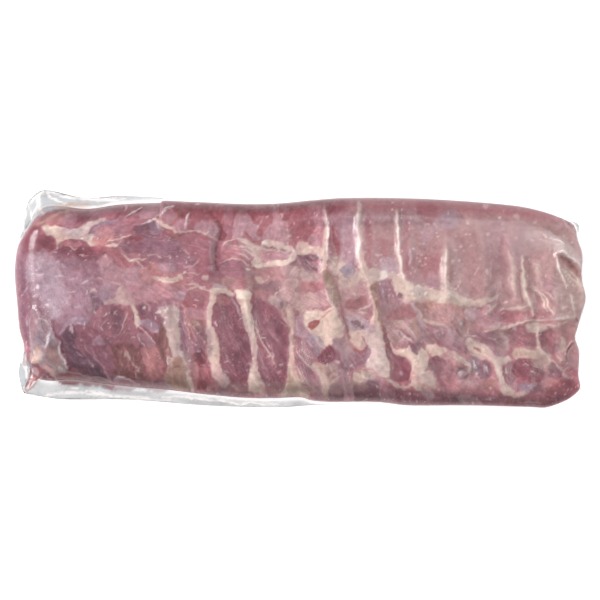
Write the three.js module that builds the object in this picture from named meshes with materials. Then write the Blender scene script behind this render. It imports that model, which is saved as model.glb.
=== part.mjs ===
// A rack of raw pork back ribs, vacuum-sealed in clear film, lying with its bone side up.
// Millimetres. +X runs along the rack, +Y to its thick loin edge and +Z up. The origin is the
// middle of the flat underside. The sealed pack can't be opened or seen into, so it is one solid:
// its outer skin follows the film, with thin fins where the two plies of film lie on each other.
import * as THREE from "three";
import {
  mergeGeometries,
  mergeVertices,
} from "three/addons/utils/BufferGeometryUtils.js";

// Thickness of the rack inside the film.
const LOIN_THICKNESS = 34; // along the loin edge
const BELLY_THICKNESS = 27; // along the edge where the ribs were cut
const BELLY_LINE = -70; // the thickness grows from this Y
const LOIN_LINE = 45; // to this one
const BLADE_END_THINNING = 3; // at the end at -X
const BLADE_END_SHARE = 0.3; // of the length, over which it thins
const TAIL_END_THINNING = 6; // at the end at +X
const TAIL_END_SHARE = 0.4;

// Slow lumps of muscle: their height, and how far they run for one radian of their waves.
const LUMP_HEIGHT = 0.9;
const SHORT_LUMP = [23, 31];
const LONG_LUMP = [41, -17];

// The film.
const FIN_THICKNESS = 1; // two plies with a little trapped juice and air
const FIN_LEAST = 1; // the pinched edge where the film hugs the meat
const SEAM_HEIGHT = 12; // where the two plies meet at the side of the meat
const FIN_DROOP = 0.42; // fall of a fin for each millimetre that it stands out
const FIN_WAVE = 0.9;
const FIN_WAVE_PITCH = 34;
const FIN_WAVE_RUN = 8; // a fin waves fully where it is this wide

// Rounding of the sides, as distances in plan from the edge of the meat to the full height.
const TOP_ROUNDING = 17;
const UNDER_ROUNDING = 11;
const END_ROUNDING = 24; // the two ends slope more gently than the long sides

// Corner radii of the meat in plan: blade end first, loin side first.
const CORNER = { bladeLoin: 17, tailLoin: 9, bladeBelly: 12, tailBelly: 4 };

// The ribs that show as ridges: where each crest crosses the X axis.
const RIB_CRESTS = [-103, -68.5, -42.5, -9.5, 23.5, 57, 85.5, 116, 146, 173, 199];
const RIB_LEAN = 0.12; // crests move to +X by this share of the way to the belly edge
const RIB_RISE = 2.4;
const RIB_HALF_WIDTH = 7;
const RIB_START = -112; // the blade muscle hides the ribs before this
const RIB_FADE = 14;

// Grid of each of the two sheets, upper and under.
const COLUMNS = 92;
const ROWS = 30;
const FIN_STEPS = 2; // grid steps over the width of a fin
const EDGE_STEP_SHARE = 0.3; // size of the first step on the meat, against those in the middle
const EDGE_STEPS = 7; // steps over which the grid widens
const HALVINGS = 24; // of a curve, to find its point at a given x
const MERGE_DISTANCE = 1e-3;

const point = ([x, y]) => new THREE.Vector2(x, y);
const curve = (points) => new THREE.SplineCurve(points.map(point));

// The four corners of the pack in plan, and the edges between them, each from -X to +X or -Y to +Y.
const BLADE_LOIN = [-214.5, 76.7];
const TAIL_LOIN = [219.2, 57.9];
const BLADE_BELLY = [-217.3, -73.8];
const TAIL_BELLY = [220.8, -67.5];
const loinEdge = curve([
  BLADE_LOIN,
  [-201.2, 86],
  [-169, 79.9],
  [-138.4, 81.4],
  [-78.7, 78],
  [-25.3, 76.6],
  [32.8, 81.2],
  [94.8, 80.7],
  [157.6, 76.4],
  [188.2, 71.2],
  [214.1, 61.4],
  TAIL_LOIN,
]);
const bellyEdge = curve([
  BLADE_BELLY,
  [-202.7, -76.3],
  [-183.1, -78.5],
  [-133.6, -78.7],
  [-70.8, -83.3],
  [-19, -84.6],
  [15.5, -82.6],
  [57.9, -81.8],
  [86.2, -84.6],
  [133.3, -84.6],
  [180.4, -85.8],
  [193.7, -86],
  [209.4, -80.3],
  [218.8, -72.9],
  TAIL_BELLY,
]);
const bladeEnd = curve([
  BLADE_BELLY,
  [-219.4, -68.5],
  [-221.3, -56.7],
  [-218.4, -44.2],
  [-217.8, -36.3],
  [-221.3, -23.7],
  [-222.8, -8],
  [-225, 21.8],
  [-222.8, 40.9],
  [-217.1, 57.1],
  [-217.1, 64.2],
  BLADE_LOIN,
]);
const tailEnd = curve([
  TAIL_BELLY,
  [218.8, -58],
  [219.4, -41],
  [216.4, -30],
  [218, -23],
  [221.6, -11.2],
  [225, 1.7],
  [222, 16.3],
  [222.4, 35.1],
  [218.5, 47.7],
  TAIL_LOIN,
]);

// Width of the film fin beyond the meat, against the share of the way along its edge.
const loinFin = curve([
  [0, 19],
  [0.04, 21],
  [0.11, 9.8],
  [0.18, 7.5],
  [0.27, 3.5],
  [0.33, FIN_LEAST],
  [0.9, FIN_LEAST],
  [1, 2.5],
]);
const bellyFin = curve([
  [0, 13],
  [0.08, 13.2],
  [0.12, 15],
  [0.2, 10.2],
  [0.28, 9.5],
  [0.4, 6.7],
  [0.48, 6.4],
  [0.56, FIN_LEAST],
  [1, FIN_LEAST],
]);
const bladeFin = curve([
  [0, 8],
  [0.1, 10],
  [0.2, 7],
  [0.27, FIN_LEAST],
  [0.9, FIN_LEAST],
  [1, 3],
]);
const tailFin = curve([
  [0, FIN_LEAST],
  [0.5, 1.6],
  [0.85, 1.6],
  [1, 3],
]);

const clamp01 = (t) => THREE.MathUtils.clamp(t, 0, 1);
const { lerp, smoothstep } = THREE.MathUtils;

// The width of a fin at a share of its edge, by halving the curve's run, whose x only grows.
function finWidth(line, x) {
  let low = 0;
  let high = 1;
  for (let i = 0; i < HALVINGS; i += 1) {
    const middle = (low + high) / 2;
    if (line.getPoint(middle).x < x) low = middle;
    else high = middle;
  }
  return Math.max(line.getPoint(high).y, FIN_LEAST);
}

// A point of the plan at the shares u along the length and v from the belly to the loin edge.
function planPoint(u, v) {
  const along = bellyEdge.getPointAt(u).lerp(loinEdge.getPointAt(u), v);
  const across = bladeEnd.getPointAt(v).lerp(tailEnd.getPointAt(v), u);
  const belly = point(BLADE_BELLY).lerp(point(TAIL_BELLY), u);
  const loin = point(BLADE_LOIN).lerp(point(TAIL_LOIN), u);
  return along.add(across).sub(belly.lerp(loin, v));
}

// Distances from one edge of the pack to each grid line, with fins of two widths at its ends.
function stations(steps, span, firstFin, lastFin) {
  const inner = steps - 2 * FIN_STEPS;
  const sizes = Array.from({ length: inner }, (_, i) => {
    const fromEdge = Math.min(i, inner - 1 - i) / EDGE_STEPS;
    return lerp(EDGE_STEP_SHARE, 1, smoothstep(fromEdge, 0, 1));
  });
  const scale = (span - firstFin - lastFin) / sizes.reduce((sum, size) => sum + size, 0);
  const places = [];
  for (let i = 0; i < FIN_STEPS; i += 1) places.push((firstFin * i) / FIN_STEPS);
  let place = firstFin;
  places.push(place);
  for (const size of sizes) {
    place += size * scale;
    places.push(place);
  }
  for (let i = 1; i <= FIN_STEPS; i += 1) {
    places.push(span - lastFin + (lastFin * i) / FIN_STEPS);
  }
  return places;
}

// Depth inside a corner of the given radius between two straight edges, negative outside it.
function cornerDepth(a, b, radius) {
  const outside = Math.hypot(Math.max(radius - a, 0), Math.max(radius - b, 0));
  return radius - outside + Math.max(Math.min(a, b) - radius, 0);
}

// A quarter of an ellipse: 0 at the edge, 1 from the full rounding on.
const rounded = (depth, rounding) => {
  const share = clamp01(depth / rounding);
  return Math.sqrt(1 - (1 - share) ** 2);
};

// The unevenness of the top: the ribs' ridges and the slow lumps of muscle.
function relief(x, y) {
  const crests = RIB_CRESTS.map((crest) => {
    const off = (x - (crest - RIB_LEAN * y)) / RIB_HALF_WIDTH;
    return Math.exp(-off * off);
  });
  const shown = smoothstep(x, RIB_START - RIB_FADE, RIB_START + RIB_FADE);
  const ridge = RIB_RISE * shown * Math.max(...crests);
  const shortWave = Math.sin(x / SHORT_LUMP[0] + y / SHORT_LUMP[1]);
  const longWave = Math.cos(x / LONG_LUMP[0] + y / LONG_LUMP[1]);
  return ridge + LUMP_HEIGHT * shortWave * longWave;
}

// The full height of the pack's top at a point of the plan.
function crown(x, y, u) {
  const toLoin = smoothstep(y, BELLY_LINE, LOIN_LINE);
  const thickness = lerp(BELLY_THICKNESS, LOIN_THICKNESS, toLoin);
  const blade = BLADE_END_THINNING * (1 - smoothstep(u, 0, BLADE_END_SHARE));
  const tail = TAIL_END_THINNING * smoothstep(u, 1 - TAIL_END_SHARE, 1);
  return thickness - blade - tail + relief(x, y);
}

// The pack's upper or under skin: a grid over the plan, raised to the skin's height.
function skin(isUpper) {
  const sheet = new THREE.PlaneGeometry(1, 1, COLUMNS, ROWS);
  const place = sheet.getAttribute("position");
  const length = bellyEdge.getLength();
  const width = bladeEnd.getLength();
  for (let k = 0; k < place.count; k += 1) {
    const column = k % (COLUMNS + 1);
    const row = ROWS - Math.floor(k / (COLUMNS + 1));
    const roughU = column / COLUMNS;
    const roughV = row / ROWS;
    const fins = {
      blade: finWidth(bladeFin, roughV),
      tail: finWidth(tailFin, roughV),
      belly: finWidth(bellyFin, roughU),
      loin: finWidth(loinFin, roughU),
    };
    const fromBlade = stations(COLUMNS, length, fins.blade, fins.tail)[column];
    const fromBelly = stations(ROWS, width, fins.belly, fins.loin)[row];
    const u = clamp01(fromBlade / length);
    const v = clamp01(fromBelly / width);
    const { x, y } = planPoint(u, v);
    const depth = {
      blade: fromBlade - fins.blade,
      tail: length - fromBlade - fins.tail,
      belly: fromBelly - fins.belly,
      loin: width - fromBelly - fins.loin,
    };
    const inside = Math.min(
      cornerDepth(depth.blade, depth.loin, CORNER.bladeLoin),
      cornerDepth(depth.tail, depth.loin, CORNER.tailLoin),
      cornerDepth(depth.blade, depth.belly, CORNER.bladeBelly),
      cornerDepth(depth.tail, depth.belly, CORNER.tailBelly),
    );
    const standsOut = Math.max(-inside, 0);
    const wave = Math.sin((2 * Math.PI * (x + y)) / FIN_WAVE_PITCH);
    const waveShare = clamp01(standsOut / FIN_WAVE_RUN);
    const seam = SEAM_HEIGHT - FIN_DROOP * standsOut + FIN_WAVE * wave * waveShare;
    const isRim = column % COLUMNS === 0 || row % ROWS === 0;
    const half = isRim ? 0 : FIN_THICKNESS / 2;
    const nearEnd = Math.min(depth.blade, depth.tail);
    const rounding = lerp(END_ROUNDING, TOP_ROUNDING, smoothstep(nearEnd, 0, 2 * END_ROUNDING));
    const top = lerp(seam + half, crown(x, y, u), rounded(inside, rounding));
    const under = (seam - half) * (1 - rounded(inside, UNDER_ROUNDING));
    place.setXYZ(k, x, y, isUpper ? top : under);
  }
  if (!isUpper) {
    const faces = sheet.getIndex().array;
    for (let i = 0; i < faces.length; i += 3) {
      [faces[i + 1], faces[i + 2]] = [faces[i + 2], faces[i + 1]];
    }
  }
  sheet.deleteAttribute("normal");
  sheet.deleteAttribute("uv");
  return sheet;
}

function sealedPack() {
  const shape = mergeVertices(mergeGeometries([skin(true), skin(false)]), MERGE_DISTANCE);
  shape.computeBoundingBox();
  const middle = shape.boundingBox.getCenter(new THREE.Vector3());
  shape.translate(-middle.x, -middle.y, 0);
  shape.computeVertexNormals();
  const filmOverMeat = new THREE.MeshStandardMaterial({
    color: 0xa87880,
    roughness: 0.3,
    metalness: 0,
  });
  const mesh = new THREE.Mesh(shape, filmOverMeat);
  mesh.name = "sealed_pack";
  return mesh;
}

const rack = new THREE.Group();
rack.add(sealedPack());

export default rack;
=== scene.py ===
import math

import bmesh
import bpy
import numpy as np
from bpy.props import FloatProperty, FloatVectorProperty, PointerProperty
from mathutils import Matrix, Vector


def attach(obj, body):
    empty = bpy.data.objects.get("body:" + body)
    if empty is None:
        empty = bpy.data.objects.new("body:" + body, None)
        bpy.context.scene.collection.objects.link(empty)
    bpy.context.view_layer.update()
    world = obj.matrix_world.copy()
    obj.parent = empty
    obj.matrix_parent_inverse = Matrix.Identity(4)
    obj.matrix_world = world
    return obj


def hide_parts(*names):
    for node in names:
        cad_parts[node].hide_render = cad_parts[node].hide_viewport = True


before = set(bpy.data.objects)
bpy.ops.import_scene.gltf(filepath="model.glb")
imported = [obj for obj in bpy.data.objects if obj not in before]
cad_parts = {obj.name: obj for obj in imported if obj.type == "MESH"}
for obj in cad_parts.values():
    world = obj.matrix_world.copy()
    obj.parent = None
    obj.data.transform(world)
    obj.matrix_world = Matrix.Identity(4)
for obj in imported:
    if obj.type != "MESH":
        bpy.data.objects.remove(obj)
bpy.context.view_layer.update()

bl_info = {
    "name": "Sealed rack of ribs",
    "version": (1, 0, 0),
    "blender": (4, 5, 0),
    "location": "View3D > Sidebar > Ribs",
    "description": "A rack of raw pork back ribs, vacuum-sealed in clear film",
    "category": "Object",
}

# Lengths are in millimetres up to the moment that a mesh is written, in metres.
MM = 0.001

# The photograph looks straight down. This is the size of its pixel, and the pixel at X = Y = 0.
PIXEL = 0.785
PHOTO_MIDDLE = (300.25, 299.75)
PHOTO_WIDTH = 600

# The part's plan, as its source gives it: four corners and the edges between them.
BLADE_LOIN = (-214.5, 76.7)
TAIL_LOIN = (219.2, 57.9)
BLADE_BELLY = (-217.3, -73.8)
TAIL_BELLY = (220.8, -67.5)
LOIN_POINTS = [
    BLADE_LOIN, (-201.2, 86), (-169, 79.9), (-138.4, 81.4), (-78.7, 78), (-25.3, 76.6),
    (32.8, 81.2), (94.8, 80.7), (157.6, 76.4), (188.2, 71.2), (214.1, 61.4), TAIL_LOIN,
]
BELLY_POINTS = [
    BLADE_BELLY, (-202.7, -76.3), (-183.1, -78.5), (-133.6, -78.7), (-70.8, -83.3),
    (-19, -84.6), (15.5, -82.6), (57.9, -81.8), (86.2, -84.6), (133.3, -84.6), (180.4, -85.8),
    (193.7, -86), (209.4, -80.3), (218.8, -72.9), TAIL_BELLY,
]
BLADE_POINTS = [
    BLADE_BELLY, (-219.4, -68.5), (-221.3, -56.7), (-218.4, -44.2), (-217.8, -36.3),
    (-221.3, -23.7), (-222.8, -8), (-225, 21.8), (-222.8, 40.9), (-217.1, 57.1),
    (-217.1, 64.2), BLADE_LOIN,
]
TAIL_POINTS = [
    TAIL_BELLY, (218.8, -58), (219.4, -41), (216.4, -30), (218, -23), (221.6, -11.2),
    (225, 1.7), (222, 16.3), (222.4, 35.1), (218.5, 47.7), TAIL_LOIN,
]
# Width of the film fins beyond the meat, against the share of the way along each edge.
LOIN_FIN = [(0, 19), (0.04, 21), (0.11, 9.8), (0.18, 7.5), (0.27, 3.5), (0.33, 1), (0.9, 1), (1, 2.5)]
BELLY_FIN = [
    (0, 13), (0.08, 13.2), (0.12, 15), (0.2, 10.2), (0.28, 9.5), (0.4, 6.7), (0.48, 6.4),
    (0.56, 1), (1, 1),
]
BLADE_FIN = [(0, 8), (0.1, 10), (0.2, 7), (0.27, 1), (0.9, 1), (1, 3)]
TAIL_FIN = [(0, 1), (0.5, 1.6), (0.85, 1.6), (1, 3)]
FIN_LEAST = 1
FIN_THICKNESS = 1
SEAM_HEIGHT = 12
FIN_DROOP = 0.42
FIN_WAVE = 0.9
FIN_WAVE_PITCH = 34
FIN_WAVE_RUN = 8
TOP_ROUNDING = 17
UNDER_ROUNDING = 11
END_ROUNDING = 24
# Corner radii of the meat in plan.
BLADE_LOIN_CORNER = 17
TAIL_LOIN_CORNER = 9
BLADE_BELLY_CORNER = 12
TAIL_BELLY_CORNER = 4
# The ribs that show as ridges: where each crest crosses the X axis.
RIB_CRESTS = (-103, -68.5, -42.5, -9.5, 23.5, 57, 85.5, 116, 146, 173, 199)
RIB_LEAN = 0.12
RIB_RISE = 1.3
RIB_LOIN_FADE = (25, 68)  # the ridges die out between these Y
RIB_HALF_WIDTH = 7
RIB_START = -112
RIB_FADE = 14
BELLY_LINE = -70
LOIN_LINE = 45
BLADE_END_THINNING = 3
BLADE_END_SHARE = 0.3
TAIL_END_THINNING = 6
TAIL_END_SHARE = 0.4
LUMP_HEIGHT = 0.9
SHORT_LUMP = (23, 31)
LONG_LUMP = (41, -17)

# The grid of the part's source.
SOURCE_COLUMNS = 92
SOURCE_ROWS = 30
SOURCE_FIN_STEPS = 2
SOURCE_EDGE_SHARE = 0.3
SOURCE_EDGE_STEPS = 7

# The rack inside the film.
RACK_COLUMNS = 490
RACK_ROWS = 160
SIDE_STEPS = 16  # grid steps up the rounded side of the rack
SIDE_RUN = 17  # and how far in plan they reach
# The film.
FILM_COLUMNS = 440
FILM_ROWS = 150
FILM_HIGHEST = 37.9

MEAT_SLACK = 0.2  # between the meat and the film, on top of the film's gap
MEAT_GRAIN = 0.25
FIN_WRINKLE = 0.35
FIBRE_BREAK = 292  # the photograph's row under which the fibres run more steeply
FIBRE_LEANS = (58, 20)  # degrees, under it and over it

TONE_GAIN = 1.09  # the paint makes up for what the film's gloss adds to it
GLARE = 0.027
DARKEST = 0.012
WALL_PAINTED_LIGHT = 0.42  # painted light up the rack's sides, against the shade that falls on them
WALL_REACH = 13
CURVE_STEPS = 24  # straight pieces between two points of a smooth curve
NOISE_TABLE = 64
SEED = 11


def mix(a, b, share):
    """The value between a and b at a share of the way."""
    return a + (b - a) * share


def smooth_step(value, low, high):
    """0 below low, 1 above high, and smooth between them."""
    share = np.clip((value - low) / (high - low), 0, 1)
    return share * share * (3 - 2 * share)


class Curve:
    """A smooth curve through given points, drawn as the part's source draws its edges."""

    def __init__(self, points, closed=False, steps=CURVE_STEPS):
        p = np.array(points, float)
        if closed:
            ring = np.vstack([p[-1:], p, p[:2]])
        else:
            ring = np.vstack([p[:1], p, p[-1:]])
        a, b, c, d = ring[:-3], ring[1:-2], ring[2:-1], ring[3:]
        t = np.linspace(0, 1, steps, endpoint=False)[None, :, None]
        a, b, c, d = (k[:, None, :] for k in (a, b, c, d))
        into, out = (c - a) / 2, (d - b) / 2
        path = (2 * b - 2 * c + into + out) * t**3 + (3 * c - 3 * b - 2 * into - out) * t**2
        path = (path + into * t + b).reshape(-1, p.shape[1])
        self.path = np.vstack([path, path[:1] if closed else p[-1:]])
        steps_run = np.linalg.norm(np.diff(self.path, axis=0), axis=1)
        self.run = np.concatenate([[0], np.cumsum(steps_run)])
        self.length = self.run[-1]

    def at(self, share):
        """The point at a share of the curve's length."""
        run = np.clip(share, 0, 1) * self.length
        return np.stack([np.interp(run, self.run, k) for k in self.path.T], -1)

    def over(self, x):
        """The second coordinate where the first one is x."""
        return np.interp(x, self.path[:, 0], self.path[:, 1])


LOIN_EDGE, BELLY_EDGE = Curve(LOIN_POINTS), Curve(BELLY_POINTS)
BLADE_END, TAIL_END = Curve(BLADE_POINTS), Curve(TAIL_POINTS)
FINS = {
    "loin": Curve(LOIN_FIN),
    "belly": Curve(BELLY_FIN),
    "blade": Curve(BLADE_FIN),
    "tail": Curve(TAIL_FIN),
}
LENGTH = BELLY_EDGE.length
WIDTH = BLADE_END.length
OUTLINE = np.vstack([edge.path for edge in (LOIN_EDGE, BELLY_EDGE, BLADE_END, TAIL_END)])
# The part's box is centred on X and Y, so its plan is moved by this much.
PLAN_SHIFT = -(OUTLINE.min(0) + OUTLINE.max(0)) / 2


def plan_point(u, v):
    """The point of the plan at the shares u of the length and v from the belly to the loin."""
    u, v = u[..., None], v[..., None]
    along = mix(BELLY_EDGE.at(u[..., 0]), LOIN_EDGE.at(u[..., 0]), v)
    across = mix(BLADE_END.at(v[..., 0]), TAIL_END.at(v[..., 0]), u)
    belly = mix(np.array(BLADE_BELLY), np.array(TAIL_BELLY), u)
    loin = mix(np.array(BLADE_LOIN), np.array(TAIL_LOIN), u)
    return along + across - mix(belly, loin, v)


def fin_widths(u, v):
    """The widths of the fins at the blade end, the tail end, the belly edge and the loin edge."""
    places = (("blade", v), ("tail", v), ("belly", u), ("loin", u))
    return [np.maximum(FINS[name].over(share), FIN_LEAST) for name, share in places]


def corner_depth(a, b, radius):
    """Depth inside a rounded corner between two straight edges, negative outside it."""
    outside = np.hypot(np.maximum(radius - a, 0), np.maximum(radius - b, 0))
    return radius - outside + np.maximum(np.minimum(a, b) - radius, 0)


def rounded(depth, rounding):
    """A quarter of an ellipse: 0 at the edge, 1 from the full rounding on."""
    share = np.clip(depth / rounding, 0, 1)
    return np.sqrt(1 - (1 - share) ** 2)


def crown(x, y, u):
    """The full height of the pack's top, as the part's source gives it."""
    thickness = mix(look().belly_thickness, look().loin_thickness,
                    smooth_step(y, BELLY_LINE, LOIN_LINE))
    blade = BLADE_END_THINNING * (1 - smooth_step(u, 0, BLADE_END_SHARE))
    tail = TAIL_END_THINNING * smooth_step(u, 1 - TAIL_END_SHARE, 1)
    ridge = np.zeros_like(x)
    for crest in RIB_CRESTS:
        off = (x - (crest - RIB_LEAN * y)) / RIB_HALF_WIDTH
        ridge = np.maximum(ridge, np.exp(-off * off))
    ridge = ridge * RIB_RISE * smooth_step(x, RIB_START - RIB_FADE, RIB_START + RIB_FADE)
    ridge = ridge * (1 - smooth_step(y, *RIB_LOIN_FADE))
    short_wave = np.sin(x / SHORT_LUMP[0] + y / SHORT_LUMP[1])
    long_wave = np.cos(x / LONG_LUMP[0] + y / LONG_LUMP[1])
    return thickness - blade - tail + ridge + LUMP_HEIGHT * short_wave * long_wave


def cloud(x, y, size, seed):
    """Smooth noise from -1 to 1, whose lumps are about as large as size."""
    table = np.random.default_rng(SEED + seed).uniform(-1, 1, (NOISE_TABLE, NOISE_TABLE))
    gx, gy = x / size + seed * 7.31, y / size + seed * 3.77
    cx, cy = np.floor(gx).astype(int), np.floor(gy).astype(int)
    fx, fy = gx - cx, gy - cy
    fx, fy = fx * fx * (3 - 2 * fx), fy * fy * (3 - 2 * fy)
    near, far = (
        mix(table[cx % NOISE_TABLE, row], table[(cx + 1) % NOISE_TABLE, row], fx)
        for row in (cy % NOISE_TABLE, (cy + 1) % NOISE_TABLE)
    )
    return mix(near, far, fy)


def clouds(x, y, size, seed, octaves=3):
    """Noise of several sizes together."""
    total = np.zeros_like(x)
    for k in range(octaves):
        total = total + cloud(x, y, size / 2**k, seed + 17 * k) / 2**k
    return total / (2 - 2 ** (1 - octaves))


# The colours, as they show in the photograph, from 0 to 255.
PALETTE = {
    "deep muscle": (129, 72, 84),
    "muscle": (146, 92, 104),
    "plum": (118, 80, 95),
    "mauve": (160, 118, 130),
    "rose": (172, 116, 124),
    "pink": (186, 146, 153),
    "salmon": (192, 138, 134),
    "loin": (177, 141, 142),
    "pale loin": (190, 158, 156),
    "haze": (182, 158, 170),
    "lilac": (192, 171, 183),
    "slate": (146, 132, 148),
    "cream": (214, 193, 181),
    "fat": (229, 214, 202),
    "tan": (178, 144, 126),
    "olive": (150, 126, 108),
    "grey": (178, 160, 165),
    "blood": (158, 92, 94),
    "juice": (112, 48, 56),
    "white": (244, 237, 234),
    "brown": (134, 90, 84),
    "wine": (128, 62, 72),
    "red": (158, 94, 103),
    "veiled": (179, 143, 151),
    "violet": (147, 106, 121),
    "rib": (203, 184, 174),
    "dusk": (98, 68, 82),
    "mist": (204, 190, 199),
    "fin white": (182, 183, 186),
    "flap grey": (168, 152, 154),
    "film grey": (150, 151, 155),
}


def palette_name(tint):
    """The name of a colour's property."""
    return tint.replace(" ", "_")


def colour_property(tint):
    """The property that holds one colour of the meat."""
    return FloatVectorProperty(
        name=tint.capitalize(),
        description=f"Colour of {tint}, as it shows under the film",
        default=tuple(k / 255 for k in PALETTE[tint]),
        subtype="COLOR_GAMMA",
        size=3,
        min=0,
        max=1,
    )


class MeatColours(bpy.types.PropertyGroup):
    """The colours that the rack is painted with."""

    __annotations__ = {palette_name(tint): colour_property(tint) for tint in PALETTE}


class PackLook(bpy.types.PropertyGroup):
    """Sizes and finishes of the sealed pack."""

    loin_thickness: FloatProperty(
        name="Loin thickness",
        description="Thickness of the pack along its loin edge, in millimetres",
        default=34,
        min=10,
    )
    belly_thickness: FloatProperty(
        name="Belly thickness",
        description="Thickness of the pack along its belly edge, in millimetres",
        default=27,
        min=8,
    )
    film_gap: FloatProperty(
        name="Film gap",
        description="Room between the rack and the film over it, in millimetres",
        default=0.4,
        min=0.1,
    )
    fin_milkiness: FloatProperty(
        name="Fin milkiness",
        description="How milky one ply of the fins is",
        default=0.36,
        min=0,
        max=1,
        subtype="FACTOR",
    )
    film_roughness: FloatProperty(
        name="Film roughness",
        description="Roughness of the film's gloss",
        default=0.2,
        min=0,
        max=1,
        subtype="FACTOR",
    )


class StageLook(bpy.types.PropertyGroup):
    """Floor, light and camera."""

    key_power: FloatProperty(
        name="Key light", description="Power of the large soft light", default=92, unit="POWER"
    )
    fill_power: FloatProperty(
        name="Fill light", description="Power of the fill light", default=13, unit="POWER"
    )
    dome: FloatProperty(
        name="Dome", description="Strength of the even light from all round", default=0.72
    )
    lens: FloatProperty(
        name="Lens", description="Focal length in millimetres", default=300, min=50
    )


def look():
    """The pack's settings."""
    return bpy.context.scene.pack_look


def paint(tint):
    """A colour of the meat, from 0 to 1 as it shows."""
    return np.array(getattr(bpy.context.scene.meat_colours, palette_name(tint)))


def as_light(colour):
    """Linear light from a colour as it shows."""
    return np.where(colour <= 0.04045, colour / 12.92, ((colour + 0.055) / 1.055) ** 2.4)


def paths(text):
    """Paths over the photograph's pixels, across and down, with a slash between two paths."""
    return [
        np.array([[float(k) for k in pair.split(",")] for pair in path.split()])
        for path in text.split("/")
    ]


# How the paint's edges are drawn: those blurred over fewer pixels than this are made crisper.
SOFTEST_EDGE = 3.5
EDGE_BLUR = 0.7
# The size in pixels of each warp of the painted outlines, its reach and its seed.
WARPS = ((14, 1.1, 1), (6, 0.9, 5), (2.6, 0.6, 9))
FAT_TINTS = ("cream", "fat", "white", "tan", "rib")


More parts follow.
